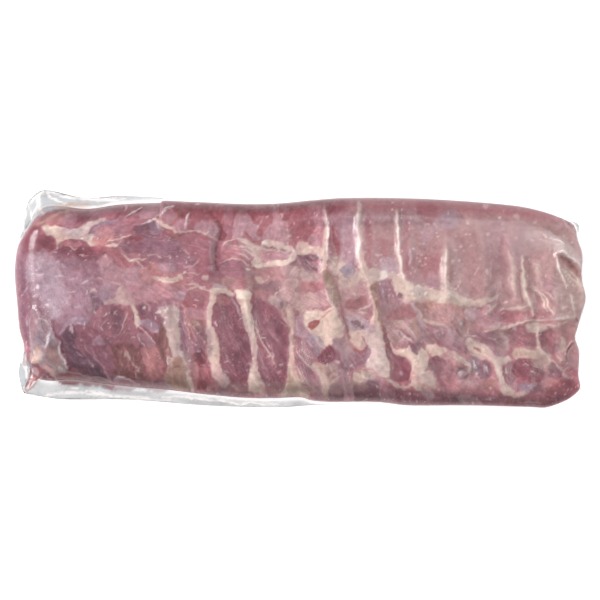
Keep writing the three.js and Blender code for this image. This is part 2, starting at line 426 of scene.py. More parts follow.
class Canvas:
    """Paint, rise and marks over the points of a surface, placed by the photograph's pixels."""

    def __init__(self, x, y, base):
        self.x = x / PIXEL + PHOTO_MIDDLE[0]
        self.y = PHOTO_MIDDLE[1] - y / PIXEL
        warped_x, warped_y = self.x.copy(), self.y.copy()
        for size, reach, seed in WARPS:
            warped_x += reach * cloud(self.x, self.y, size, seed)
            warped_y += reach * cloud(self.x, self.y, size, seed + 2)
        self.x, self.y = warped_x, warped_y
        self.tone = np.tile(paint(base), (x.size, 1))
        self.rise = np.zeros(x.size)
        self.fat = np.zeros(x.size)
        self.veil = np.zeros(x.size)
        self.fray = clouds(self.x, self.y, 3.4, 21, 2)
        self.shade = clouds(self.x, self.y, 6, 23, 3)
        # The smooth loin muscle, which takes little grain.
        self.calm = smooth_step(self.x, 335, 370) * (1 - smooth_step(self.y, 262, 300))
        # Places along and over the muscle fibres, and how strongly the fibres show.
        lean = np.radians(np.where(self.y > FIBRE_BREAK, *FIBRE_LEANS))
        self.fibre_along = self.x * np.cos(lean) + self.y * np.sin(lean)
        self.fibre_over = -self.x * np.sin(lean) + self.y * np.cos(lean)
        near_break = np.exp(-((self.y - FIBRE_BREAK) / 4) ** 2)
        self.fibre_share = 0.45 * (1 - 0.7 * self.calm) * (1 - near_break)

    def near(self, low, high, reach):
        """The points in a box with some room round it."""
        inside = (self.x > low[0] - reach) & (self.x < high[0] + reach)
        inside &= (self.y > low[1] - reach) & (self.y < high[1] + reach)
        return np.nonzero(inside)[0]

    def lay(self, at, cover, tint, rise, lift, grain):
        """Lays a tint on the points with the given cover."""
        x, y = self.x[at], self.y[at]
        if grain:
            angle, amount, other = grain
            turn = math.radians(angle)
            along = x * math.cos(turn) - y * math.sin(turn)
            over = x * math.sin(turn) + y * math.cos(turn)
            streak = cloud(along / 7, over, 2.1, 31) + 0.6 * cloud(along / 4, over, 4.3, 37)
            strong = cover > 0.5
            self.fibre_along[at[strong]] = along[strong]
            self.fibre_over[at[strong]] = over[strong]
            self.fibre_share[at] = mix(self.fibre_share[at], 1.5 * amount, cover)
            share = np.clip(0.5 + streak, 0, 1)[:, None] * amount
            colour = mix(paint(tint), paint(other), share)
        else:
            colour = paint(tint)
            self.fibre_share[at] = mix(self.fibre_share[at], 0.2, cover * 0.7)
        self.tone[at] = mix(self.tone[at], colour, cover[:, None])
        pale = 1.0 if tint in FAT_TINTS else 0.0
        self.fat[at] = mix(self.fat[at], pale, cover)
        self.rise[at] += rise * lift

    def segments(self, at, path):
        """For each point, its distance to the path, the path's share there, and its side."""
        p = np.stack([self.x[at], self.y[at]], -1)
        best = np.full(at.size, 1e9)
        share = np.zeros(at.size)
        crossings = np.zeros(at.size, int)
        last = len(path) - 1
        for k in range(last):
            a, b = path[k], path[k + 1]
            run = b - a
            t = np.clip(((p - a) @ run) / max(run @ run, 1e-9), 0, 1)
            d = np.hypot(*(p - a - t[:, None] * run).T)
            closer = d < best
            best = np.where(closer, d, best)
            share = np.where(closer, (k + t) / last, share)
            level = (a[1] > p[:, 1]) != (b[1] > p[:, 1])
            if a[1] != b[1]:
                cut = a[0] + (p[:, 1] - a[1]) * run[0] / run[1]
                crossings += level & (p[:, 0] < cut)
        return best, share, crossings % 2 == 1

    def patch(self, tint, outlines, strength=0.85, blur=2.2, rise=0, grain=None):
        """Paints closed patches."""
        edge = blur * (EDGE_BLUR if blur < SOFTEST_EDGE else 1)
        for outline in paths(outlines):
            path = Curve(outline, closed=True, steps=3).path
            at = self.near(path.min(0), path.max(0), blur + 2)
            distance, _, inside = self.segments(at, path)
            depth = np.where(inside, distance, -distance)
            frayed = depth + self.fray[at] * (0.35 + 0.22 * blur)
            cover = strength * smooth_step(frayed, -edge / 2, edge / 2)
            cover = cover * (1 - 0.22 * np.clip(self.shade[at] * 1.6, 0, 1))
            self.lay(at, cover, tint, 0.7 * rise, smooth_step(depth, -2.5, 5), grain)

    def line(self, tint, width, strokes, strength=0.8, blur=1.3, rise=0, taper=0.35, grain=None):
        """Paints strokes, thinner towards their ends."""
        edge = blur * EDGE_BLUR
        for stroke in paths(strokes) if isinstance(strokes, str) else strokes:
            path = Curve(stroke, steps=4).path if len(stroke) > 2 else stroke
            at = self.near(path.min(0), path.max(0), width + blur + 3)
            distance, share, _ = self.segments(at, path)
            ends = np.clip(np.minimum(share, 1 - share) / taper, 0, 1) if taper else 1
            half = width / 2 * (0.45 + 0.55 * ends) * (1 + 0.22 * self.fray[at])
            cover = strength * smooth_step(half - distance, -edge / 2, edge / 2)
            cover = cover * (1 - 0.45 * np.clip(self.shade[at] * 2, 0, 1))
            lift = np.exp(-((distance / (half + 0.6)) ** 2))
            self.lay(at, cover, tint, rise, lift, grain)

    def spot(self, tint, place, radius, strength=0.8, blur=1.6, rise=0, stretch=1, angle=0):
        """Paints a round or oval spot; stretch lengthens it along the angle."""
        reach = radius * max(stretch, 1)
        at = self.near(np.array(place), np.array(place), reach + blur + 1)
        turn = math.radians(angle)
        dx, dy = self.x[at] - place[0], self.y[at] - place[1]
        along = (dx * math.cos(turn) - dy * math.sin(turn)) / stretch
        over = dx * math.sin(turn) + dy * math.cos(turn)
        depth = radius - np.hypot(along, over)
        depth = depth + self.fray[at] * (0.3 + 0.12 * radius)
        cover = strength * smooth_step(depth, -blur / 2, blur / 2)
        self.lay(at, cover, tint, rise, smooth_step(depth, -1, 2), None)

    def cloud_over(self, before, veil):
        """Makes the film milky where the paint has changed."""
        changed = np.abs(self.tone - before).max(1)
        self.veil = np.maximum(self.veil, veil * np.clip(changed * 6, 0, 1))

    def fold(self, width, strokes, rise=0.5, veil=0.25, blur=1.2):
        """Paints creases of the film: narrow rises in white, partly milky film and partly painted
        highlight.
        """
        for stroke in paths(strokes):
            before = self.tone.copy()
            self.line("white", width, [stroke], 1, blur, rise, 0.4)
            self.cloud_over(before, veil)

    def mist(self, tint, outline, veil=0.3, blur=4, rise=0):
        """Tints the film where it holds juice or stands off the meat."""
        before = self.tone.copy()
        self.patch(tint, outline, 1, blur, rise)
        self.cloud_over(before, veil)

    def mottle(self, tint, size, share, strength, seed, region=None):
        """Breaks the paint up with soft patches of a tint."""
        field = clouds(self.x, self.y, size, seed)
        cover = strength * smooth_step(field, 1 - 2 * share, 1.25 - 2 * share)
        if region is not None:
            cover = cover * region
        at = np.arange(self.x.size)
        self.lay(at, cover, tint, 0, 0, None)


def paint_ground(c):
    """The broad colours under everything else."""
    c.patch("loin", "345,190 470,190 560,205 600,240 600,300 560,330 500,325 440,312 392,296 352,262", 1,
        26)
    c.patch("pale loin", "500,228 545,222 585,240 585,300 540,300", 0.7, 30)
    c.patch("rose", "360,196 470,200 560,214 556,222 470,212 360,210", 0.35, 8)
    c.patch("rose", "392,305 470,322 560,326 600,330 600,420 392,420", blur=20)
    c.patch("pink", "296,270 360,268 400,300 398,372 330,398 296,392", 0.8, 16, 0, (-60, 0.6, "rose"))
    c.patch("rose", "156,198 330,198 336,240 260,250 180,236 140,214", 0.5, 12)
    c.patch("pink", "96,226 150,258 192,258 196,306 150,300 112,280", 0.6, 12, 0, (-30, 0.6, "rose"))
    c.patch("haze", "8,250 60,250 105,275 95,322 60,325 8,330", 0.6, 16)
    c.patch("plum", "20,396 160,400 160,376 90,368 30,352", 0.4, 12)
    c.mottle("deep muscle", 26, 0.3, 0.28, 3, 1 - c.calm)
    c.mottle("haze", 18, 0.3, 0.25, 4, 1 - c.calm)


def paint_blade_top(c):
    """The blade end in the photograph's upper left."""
    c.patch("mauve", "8,232 28,226 34,300 32,360 8,360", 0.9, 6, -0.3)
    c.patch("rose", "98,226 150,208 162,222 156,236 125,238 108,240", 0.9, 4, 0, (12, 0.6, "violet"))
    c.patch("violet", "88,226 100,223 104,232 96,238 90,234", 0.8, 2, 0, (40, 0.6, "cream"))
    c.patch("plum", "136,228 150,222 158,224 160,236 146,238 136,234", 0.75, 3, -0.3)
    c.patch("veiled", "138,213 148,211 157,215 152,219 142,218", 0.85, 2, 0.2)
    c.patch("red", "45,224 52,219 60,216 70,213 80,210.5 90,208.5 103,207 101,213 96,217 92,220 88,224"
        " 80,227 70,229 62,227 52,226.5", 0.95, 1.8, 0.4, (25, 0.5, "mauve"))
    c.patch("red", "100,213 107,210 118,205 125,203 140,203.5 145,207 138,212 130,216 120,220 110,221"
        " 103,219", 0.95, 1.8, 0.5, (25, 0.35, "muscle"))
    c.patch("wine", "77,216 84,212 90,211 88,221 82,226 78,222", 0.75, 3)
    c.patch("mauve", "66,218 73,215 76,222 72,227 65,225", 0.6, 3)
    c.line("wine", 3, "110,219 117,217 122,213 / 127,217 133,214", 0.6, 2.4)
    c.line("tan", 3.4, "20,234 28,228 40,223 50,219 60,214.5 70,211 80,209 95,207 104,206", 0.75, 1.8,
        0.3, 0.1)
    c.line("olive", 1.4, "28,227 40,222 50,218 60,213.5", 0.5)
    c.patch("slate", "103,221 112,220 119,221 112,224 104,225", 0.7, 1.8)
    c.patch("rib", "42,227 55,226 62,228 72,229.5 80,228 88,223.5 98,220 104,218.5 106,220 98,224 92,228"
        " 90,233 96,236 100,240 104,246 100,248 96,246 92,246 88,241 82,240 74,239 66,240 60,244 58,249"
        " 56,243 55,238 48,236 44,232", 0.95, 1.8, 0.6, (12, 0.45, "cream"))
    c.patch("grey", "62,230 74,231 84,229 84,234 74,235.5 63,234", 0.6, 2.4)
    c.line("tan", 1.3, "57,239 65,236 78,237.5 / 60,241 63,248 / 90,240 96,244", 0.7)
    c.line("fat", 1.4, "46,229 58,227.5 72,229.5 / 84,231 91,236 97,243 / 86,225 96,221", 0.6)
    c.patch("salmon", "98,232 108,229 116,233 114,240 108,246 100,246 94,240", 0.8, 2.4, 0.3, (50, 0.4,
        "rose"))
    c.line("cream", 3, "107,247 113,246.5 119,244.5 123,240", 0.9, 1.4, 0.4)
    c.patch("muscle", "19,244 27,236 33,231 40,229 43,226.5 45,231 48,236 54,237 57.5,240 57.5,246 54,250"
        " 51,256 48,251 44,247 40,251 34,250 26,250", 0.95, 2, 0.3, (-30, 0.4, "rose"))
    c.patch("deep muscle", "34,236 42,234 50,239 56,241 55,248 50,252 44,246 36,246", 0.8, 3.4)
    c.patch("deep muscle", "52,257 57,251 63,247 70,246 76,248 84,246 90,247 98,250 104,249 109,254"
        " 104,258 96,261 86,260 78,263 70,262 60,261", 0.92, 2, 0.3, (-15, 0.4, "plum"))
    c.patch("wine", "76,250 88,249 94,253 86,258 77,257", 0.4, 4)
    c.patch("rose", "62,243 68,240.5 74,242 82,241 83.5,244 78,248.5 72,248 66,246", 0.9, 1.6, 0.3)
    c.patch("red", "92,247 97,244 104,246 109,250 104,253 96,252", 0.75, 2)
    c.line("cream", 1.8, "70,245.5 72,249 76,250.5 80,248", 0.85, 1.2, 0.2)
    # The hazy fell over the blade.
    c.patch("mauve", "20,262 52,256 104,262 112,282 104,300 98,326 60,334 30,334 14,300", 0.95, 9, 0,
        (-70, 0.4, "violet"))
    for cloud_edge, strength, blur in (
        ("26,262 40,254 54,262 62,272 56,284 32,282 24,276", 0.6, 14),
        ("34,288 54,282 68,290 66,310 56,318 46,312 38,298", 0.65, 14),
        ("48,306 62,308 58,320 48,318", 0.4, 5),
    ):
        c.patch("mist", cloud_edge, strength, blur)
    c.line("mist", 2.4, "60,264 70,268 / 84,284 88,280 / 98,262 103,268 103,276 / 70,280 78,276 / 64,302"
        " 72,297 / 76,308 84,305 / 36,268 44,264 / 100,270 105,272", 0.6, 2.4)
    c.line("violet", 3, "62,262 66,274 / 72,266 76,280 74,292 / 88,268 86,288 / 36,300 44,305", 0.4, 3)
    c.line("white", 1.3, "30,275 40,274 48,273 / 55,277 60,275.5 68,276.5 / 68,292 77,291 / 66,305 69,300"
        " / 24,300 25,305 / 21,316 25,319 / 39,307 42,306.5 / 37,262 40,266 / 57,263 60,261 / 21,260"
        " 26,257.5 / 82,284 88,280 / 27,317 29,325 / 28,306 31,309", 0.6, 1.1)
    c.line("mist", 2, "21,279 26,278 27.5,285 26,292 24,294 21,290 20.5,284", 0.7, 1.4, taper=0)
    c.spot("red", (23.5, 281.5), 1.4, 0.5)
    c.patch("cream", "91,290 95,288 98,290 96,294 92,293", 0.7, 1.4, 0.2)
    c.patch("plum", "91,294 98,292 104,302 102,318 95,322 93,306", 0.8, 3.4, -0.5)
    c.patch("lilac", "100,292 104,285 112,282 121,285 119,291 114,299 106,302 101,299", 0.6, 2.4, 0.2)
    c.patch("slate", "101,293 106,287 114,286 112,297 104,300", 0.5, 3)
    c.patch("pink", "100,262 108,256 118,268 120,276 112,281 103,277", blur=4, grain=(60, 0.4, "veiled"))
    c.line("cream", 2, "98,278 107,281 118,283 123,286 / 107,255 109,261", 0.85, 1.4, 0.3)
    c.line("cream", 1.3, "113,282 118,275 122,270", 0.75, 1.1, 0.2)
    c.patch("rose", "110,250 116,249.5 124,256 130,262 133,266 124,269 118,263", 0.9, 1.8, 0.3, (-60, 0.4,
        "red"))
    c.line("cream", 2, "120,252 128,259 136,262 143,266", 0.9, rise=0.4)
    c.patch("veiled", "121,275 126,270 134,269 141,274 143,283 137,288 128,286 122,282", 0.9, 2.4, 0.4,
        (-30, 0.4, "pink"))
    c.patch("salmon", "140,272 150,266 165,268 180,274 187,285 170,290 148,287 142,282", 0.75, 3, 0.4,
        (-20, 0.5, "rose"))
    c.patch("rose", "126,288 134,284 146,288 160,298 156,304 145,300 137,303 130,295", 0.85, 2.4, 0.4,
        (-35, 0.5, "pink"))
    c.patch("rib", "118,291 123,285 128,290 132,297 135,303 137,310 140,318 142,323 138,327 136,320"
        " 133,312 126,306 118,304.5 108,305 104,302 112,299 117,296", 0.95, 1.6, 0.7, (-60, 0.4, "cream"))
    c.spot("salmon", (127, 295), 1.8, 0.6, 2)
    c.line("fat", 1.4, "143,257 150,256 158,257 164,257 / 110,242 122,239 133,236 / 130,261 138,260"
        " 146,260", 0.85, 1.2, 0.3)
    c.line("wine", 4, "131,239 138,239 146,238", 0.6, 2.4, -0.4)
    c.patch("plum", "118,246 123,242 130,242 135,245 143,239 165,238 182,240 184,250 166,257 146,254"
        " 130,253 122,250", 0.6, 2, 0.4, (-8, 0.5, "violet"))


def paint_blade_low(c):
    """The blade end in the photograph's lower left."""
    c.patch("rose", "100,306 128,304 134,312 138,328 140,348 128,360 112,350 100,335 92,322", 0.9, 3, 0.3,
        (62, 0.5, "violet"))
    c.patch("plum", "112,308 121,308 126,316 120,334 114,328", 0.6, 3.4, -0.3)
    c.patch("brown", "112,346 126,344 140,350 146,372 150,388 132,386 118,380 112,362", 0.85, 4, -0.3,
        (70, 0.5, "wine"))
    c.patch("salmon", "142,350 150,344 160,348 166,360 164,374 154,380 146,372", 0.75, 3, 0.3, (-60, 0.5,
        "blood"))
    c.patch("muscle", "58,358 61,345 64,335 68,326 76,322 88,324 98,328 106,335 111,346 113,360 114,386"
        " 108,388 98,384 84,380 70,372 62,366", 0.97, 2, 0.4, (-50, 0.4, "violet"))
    for dark, strength, blur in (
        ("62,336 70,326 78,330 76,345 84,352 80,366 68,366 61,354", 0.9, 5),
        ("76,334 80,352 100,356 104,372 92,376 78,368 72,350", 0.6, 6),
        ("96,364 106,372 112,384 100,382", 0.7, 4),
    ):
        c.patch("dusk", dark, strength, blur)
    c.patch("lilac", "61,334 65,323 72,318 80,316 88,317.5 90,321 84,324 76,324.5 70,323 66,329", 0.7, 2,
        0.2, (0, 0.5, "slate"))
    c.patch("lilac", "93,343 96,337 100,334 104,341 105,347 98,345", 0.7, 1.8, 0.2)
    c.line("lilac", 1.6, "80,337 84,339 / 92,344 97,347 / 86,343 90,350 / 74,344 77,348 / 95,355 99,361 /"
        " 88,333 94,337 / 104,352 108,358 / 62,354 66,356 / 78,352 84,355 / 99,324 104,330", 0.65)
    c.line("fat", 1.5, "94,307 95.5,315 / 104,317 109,313 / 109,329 112,326 / 93,361 96,367 / 64,355"
        " 66,356 / 115,315 117,311 / 131,338 136,337 / 102,326 103,329", 0.75, 1.2, 0.1)
    c.line("slate", 3, "82,362 88,360 93,362", blur=1.6)
    c.line("pink", 2.4, "100,362 104,369 109,376 113,385", 0.9, 1.4, 0.4)
    c.line("salmon", 1.4, "119,352 121,362 126,374 / 124,346 127,358 130,372 / 108,344 114,356 120,366",
        0.6)
    c.line("cream", 1.3, "128,310 124,321 119,336", 0.8, 1.1, 0.2)
    c.spot("plum", (143, 309), 4.4, 0.95, 1.8, -0.5, 1.35, 90)
    # A painted glint in the fat's colour on the dark oval.
    c.spot("fat", (143.5, 307), 1.6, blur=1.2, stretch=1.4, angle=60)
    c.line("cream", 1.5, "138,302 143,300.5 148,304 149,311", 0.7, 1.2, 0.2)
    c.patch("mauve", "148,304 160,308 164,322 160,332 150,322", 0.8, 2.4, 0.2, (-65, 0.5, "rose"))
    c.patch("lilac", "140,322 146,319 153,321 159,325 163,327.5 160,332 156,333 149,329", 0.8, 1.8, 0.3)
    c.patch("veiled", "138,333 146,333 152,339 155,347 149,347 141,342", 0.8, 1.8, 0.3)
    c.line("fat", 1.4, "141,325 147,332 152,339 156,345 / 138,335 141,342 145,347", 0.8, 1.2, 0.3)
    c.line("rib", 3, "125,356 127,351.5 129,356 130,360", 0.85, 1.6, 0.3, 0.1)
    c.line("rib", 2.4, "132,362 138,369 135,372 137,378", 0.8, 1.5, 0.3)
    c.line("tan", 2.6, "138,378 146,383 150,388", 0.7, 1.6, 0.2)
    c.line("wine", 2.4, "160,336 162,350 166,364 / 131,364 134,376", 0.6, 2.2, -0.4)
    c.patch("juice", "68,366 76,372 86,376.5 96,379 106,383.5 114,388.5 104,389 94,386 84,382.5 74,379"
        " 66,376", 0.97, 1.6)
    c.patch("blood", "70,368 76,371 78,377 72,376", 0.7, 1.6)
    c.patch("grey", "114,377 122,377 132,380.5 140,386 132,390 118,388", 0.85, 1.6, 0.2)
    c.patch("brown", "118,381 126,380 134,384 130,388 121,387", 0.6, 2)
    c.line("white", 1.3, "114,377.5 122,377.5 130,380.5 139,385", 0.75, 1.1, 0.2)


def paint_flap(c):
    """The grey membrane folded over the blade end's lower corner."""
    c.line("deep muscle", 3, "54,331 63,342 64,354 71,366 69,375", 0.7, 2, -0.4)
    c.patch("flap grey", "34,308.5 37,312 40,318 47,321.5 53,327 56,336 61,343 62,354 68,364 69.5,370"
        " 64,374 55,371 48,365 40,361.5 32,363 30.5,350 30.5,335 32,320", 0.97, 1.4, 0.7, (-65, 0.3,
        "slate"))
    c.patch("pink", "33,310 37,314 39,322 36,334 32,340 32,320", 0.75, 3)
    c.patch("brown", "46,349 56,344 60,352 64,364 56,367 48,360", 0.45, 5)
    c.patch("slate", "40,336 48,335 46,345 40,344", 0.7, 3, 0, (-60, 0.5, "brown"))
    c.patch("mist", "48,331 54,330 56,337 50,342 46,349 46,344 49,338", 0.8, 2.4, 0.3)
    c.line("plum", 1.3, "43,323 46,330 51,333 / 46,325 50,330 / 41,331 46,333", 0.7, 1.2)
    # Painted highlights along the flap's folded edges, in white.
    c.line("white", 1.2, "51,333 49,340 46,347 / 36,312 40,318 47,321.5 53,328", 0.7, 1.2, 0.3)
    c.patch("tan", "32,350 39,346 41,352 40,361 32,362", 0.7, 2.4)
    c.line("salmon", 1.8, "33,358 37,354 40,351", 0.6, 1.5)
    c.line("pink", 1.8, "61.5,352 67,363 69,369 65,373.5 58,371", rise=0.2)
    c.patch("rib", "60,366 66,367 68,371 63,373 59,370", 0.6, 1.8)
    c.patch("pink", "40,361 48,366 56,372 66,376 76,380.5 84,382 74,384 60,381 48,374 42,366", 0.95, 1.6,
        0.3, (-30, 0.6, "cream"))
    c.line("blood", 2.2, "47,376 58,381 70,385 80,386", 0.75, 1.5)


def paint_middle_top(c):
    """The thick muscle above the middle ribs."""
    c.patch("red", "160,206 200,198 300,195 334,196 332,240 300,246 262,244 226,242 190,232 166,222",
        0.95, 5, 0, (75, 0.35, "rose"))
    c.patch("veiled", "150,203 168,207 176,212 177,220 168,224 158,217 148,212", 0.7, 4)
    c.patch("mauve", "224,200 232,200 232,240 226,240 225,222", 0.6, 3, 0.4)
    c.patch("rose", "262,210 274,208 273,222 264,230 256,222", 0.6, 3)
    c.patch("salmon", "206,203 219,203 216,218 208,214", 0.25, 3)
    c.spot("brown", (181, 212), 3, 0.85, 1.5, 0.6, 2.1, 90)
    c.spot("wine", (183, 217), 1.6, 0.6, 1.4, 0, 1.6, 90)
    c.patch("veiled", "173,227 178,222 185,219 187,222 186,231 178,231", 0.75, 1.8, 0.3)
    c.patch("veiled", "195,231 196,225 199,221 204,219.5 210,220.5 215,223 218,229 217,234 213,237"
        " 208,236 204,234 200,232", 0.8, 1.6, 0.4)
    c.line("pink", 1.1, "210,222 216,226 217,232 / 204,234 210,228 / 223,236 225,232 228,231", 0.7, 1.1,
        0.2)
    c.patch("wine", "211,210 216,216 220,222 225,230 226,238 224,241 218,240 216,236 218.5,230 217,224"
        " 212,217", 0.95, 2.4, -0.8)
    c.patch("veiled", "233,240 233,232 234,223 236,216 240,211.5 245,210 249,212 251,217 252,222 256,225"
        " 260,227 257,231 258,236 262,236 260,240 255,240 250,237 247,233 244,232 244,237 243,240 /"
        " 273,209 280,209 280,216 283,221 284,228 282,235 283,243 276,243 267,241 262,238 266,229 271,224"
        " 274,218", 0.9, 1.5, 0.4, (80, 0.3, "pink"))
    c.patch("pink", "283,222 288,221 289,232 288,243 283,243 283,232", 0.7, 1.6, 0.3)
    c.patch("veiled", "253,208 258,205 263,203.5 267,205 264,208 256,209.5 / 282,209 289,209 289,214"
        " 284,214 / 291,206 294,203 302,201 310,202 310,206 304,205 297,207", 0.75, 1.5, 0.2)
    c.spot("rose", (297, 219), 7.5, 0.7, 2, 0.2)
    c.spot("red", (297, 219.5), 5.5, 0.7, 2.2)
    c.line("wine", 2.2, "246,234 252,239 258,241", 0.6, 1.6)
    c.line("wine", 2, "250,210 252,217 258,223 261,225", 0.45, 1.6)
    # The bundles under the red muscle.
    c.patch("violet", "144,238 160,239 180,240 192,250 196,260 186,272 160,262 146,258", 0.8, 4, 0.2,
        (-15, 0.5, "mauve"))
    c.patch("slate", "150,222 160,225 163,234 150,234", 0.4, 3)
    c.patch("brown", "171,233 182,234 182,240 172,240", 0.55, 3)
    c.patch("rose", "182,235 200,234 212,240 212,262 202,264 190,256 182,248", 0.75, 2.6, 0.4, (-18, 0.5,
        "red"))
    c.patch("pink", "221,246 226,242.5 238,242 248,244 254,249 257,256 252,262 240,260 228,260 221,257",
        0.9, 2, 0.7, (-8, 0.7, "rose"))
    c.patch("rose", "221,249 230,248 236,256 228,260 221,258", 0.6, 3)
    c.patch("rib", "236,239 246,240 255,244 262,249 262,266 256,268 252,262 255,255 250,248 240,242",
        0.85, 2.4, 0.7)
    c.line("cream", 1.5, "222,246 226,242 232,240.5 240,240 / 232,247 242,247 252,249 / 240,250 247,251"
        " 254,254 / 238,255 245,256 251,259 / 220,264 226,261 233,260 240,261 246,264 254,267", 0.85, 1.2,
        0.4)
    c.line("wine", 5, "217,239 214.5,250 214.5,262 217,270", 0.75, 2.4, -0.9)
    c.patch("rib", "262,241 268,240 282,243 293,247 294,252 283,252 270,251 261,250", 0.85, 1.8, 0.4)
    c.spot("white", (265, 243.5), 2, 0.7, 1.5, 0.2, 1.5)
    c.line("plum", 2, "262,246 268,248.5 273,247 / 272,247 278,250 / 281,248 286,250", 0.75, 1.4, -0.3)
    c.patch("pink", "261,251 275,252 293,252 293,261 278,262 262,263", rise=0.5,
        grain=(-10, 0.4, "salmon"))
    c.line("fat", 6, "256,266 262,267 270,265 280,264 288,262 293,257 294,250", 0.9, 1.8, 0.7, 0.15)
    c.patch("rib", "296,246 301,242 307,243 311,247 311,256 303,257 297,254", rise=0.5)
    c.line("pink", 1.6, "297,243 300,241 306,243", 0.7, 1.2, 0.3)
    c.patch("mauve", "296,258 304,258 311,262 311,272 303,268 297,264", 0.8, 2, -0.2, (-45, 0.5, "cream"))
    c.patch("rose", "256,269 270,267 283,268 285,280 280,290 266,292 257,284", 0.9, 2, 0.3, (-30, 0.4,
        "pink"))
    c.patch("mauve", "221,266 228,262 238,262 250,268 254,274 248,279 232,279 222,275", 0.9, 2.4, 0.5,
        (-12, 0.4, "rose"))
    c.patch("salmon", "222,279 236,278 250,279 252,288 240,292 226,291", 0.55, 3, 0.3, (-10, 0.5, "pink"))
    c.line("fat", 1.8, "245,269 250,271 / 183,274 186,272", 0.85, 1.1, 0.2)
    c.patch("rib", "255,278 260,278 264,281 268,276 266,282 260,284 256,282", 0.85, 1.4, 0.3)
    c.patch("plum", "255,284 262,286 272,281 280,282 279,290 270,292 262,289 256,288", 0.7, 1.8)
    c.line("salmon", 3, "251,290 256,293 262,294", 0.6, 1.8)
    c.line("cream", 1.3, "150,256 157,256 163,257 / 181,249 187,252 190,255 / 190,269 196,264 199,261 /"
        " 184,268 192,266 / 185,273 192,273.5 200,275 / 186,278 196,279 / 150,264 156,265", 0.65, 1.2,
        0.3)
    c.patch("slate", "159,266 164,261 171,261 177,265 177,271 168,273 160,271", 0.35, rise=0.3)
    c.patch("veiled", "160,267 165,262 172,262 177,267 175,272 163,272", 0.6, 2.4, 0.2)
    c.patch("rib", "153,275 160,277 168,276 176,277 181,275 184,278 180,281 170,283 161,281.5 155,279",
        0.9, rise=0.6)
    c.line("fat", 1.6, "160,280 170,282 180,281", 0.7, 1.4, 0.3)
    c.spot("pink", (165, 276), 2.2, 0.5, 2)
    c.spot("veiled", (210, 268), 3, 0.8, 1.8, 0.4)
    c.spot("rib", (206, 278), 2.6, 0.7, 1.6, 0.3, 1.4)
    c.patch("pink", "146,284 165,284 183,285 188,292 178,304 160,302 146,296", 0.75, 3, 0.4, (-35, 0.5,
        "rose"))
    c.patch("lilac", "175,294 180,291 187,292 186,300 178,300", 0.6, 2.4, 0.2)
    c.patch("rose", "187,290 198,289 210,293 210,301 198,300 186,300", 0.8, 2.2, 0.2, (-20, 0.4, "pink"))
    c.line("rib", 2.2, "186,284 195,285.5 202,288 211,292 / 188,290 195,288.5 202,289", 0.8, 1.5, 0.4)
    c.patch("grey", "213,285 219,283 226,286 227,292 220,294 213,293", 0.75, 2.4, 0.3)
    c.patch("pink", "280,268 288,266 296,268 298,280 296,300 284,300 280,290 284,280", 0.85, 3, 0.3, (60,
        0.7, "cream"))
    c.line("mauve", 1.5, "281,283 286,287 / 284,290 290,289 / 288,281 292,285 / 287,293 293,296 / 293,288"
        " 297,291 / 279,292 283,296", 0.6, 1.2, -0.2)
    # Painted glints in white, and whitish film creases that are partly painted highlight.
    c.line("white", 1.2, "190,215 186,219 / 186,223 185,229 / 205,235 209,231 / 159,217 167,210 176,206",
        0.8, 1, 0.2)
    c.line("cream", 3.4, "150,222 157,220 164,225 171,228 176,232", 0.9, 1.4, 0.6)
    c.line("cream", 1.7, "176,232 186,232 199,232 206,235 211,238 218,241", 0.85, 1.2, 0.4, 0.15)
    c.line("pink", 1.2, "146,235.5 155,236 163,237 171,239 / 150,232 158,233", 0.8, 1.1, 0.2)


def lens(c, outline, deep, streaks, lean=-60):
    """The muscle between two ribs: fibres with pale streaks, darker along its deep side."""
    c.patch("muscle", outline, 0.97, 1.6, 0.6, (lean, 0.45, "mauve"))
    for patch, strength in deep:
        c.patch("deep muscle", patch, strength, 5, -0.3, (lean, 0.3, "plum"))
    c.line("pink", 1.1, streaks, 0.7, 1.1, 0.2)
    c.line("pink", 0.8, [streak + (3, 2) for streak in paths(streaks)[:3]], 0.45, 1)


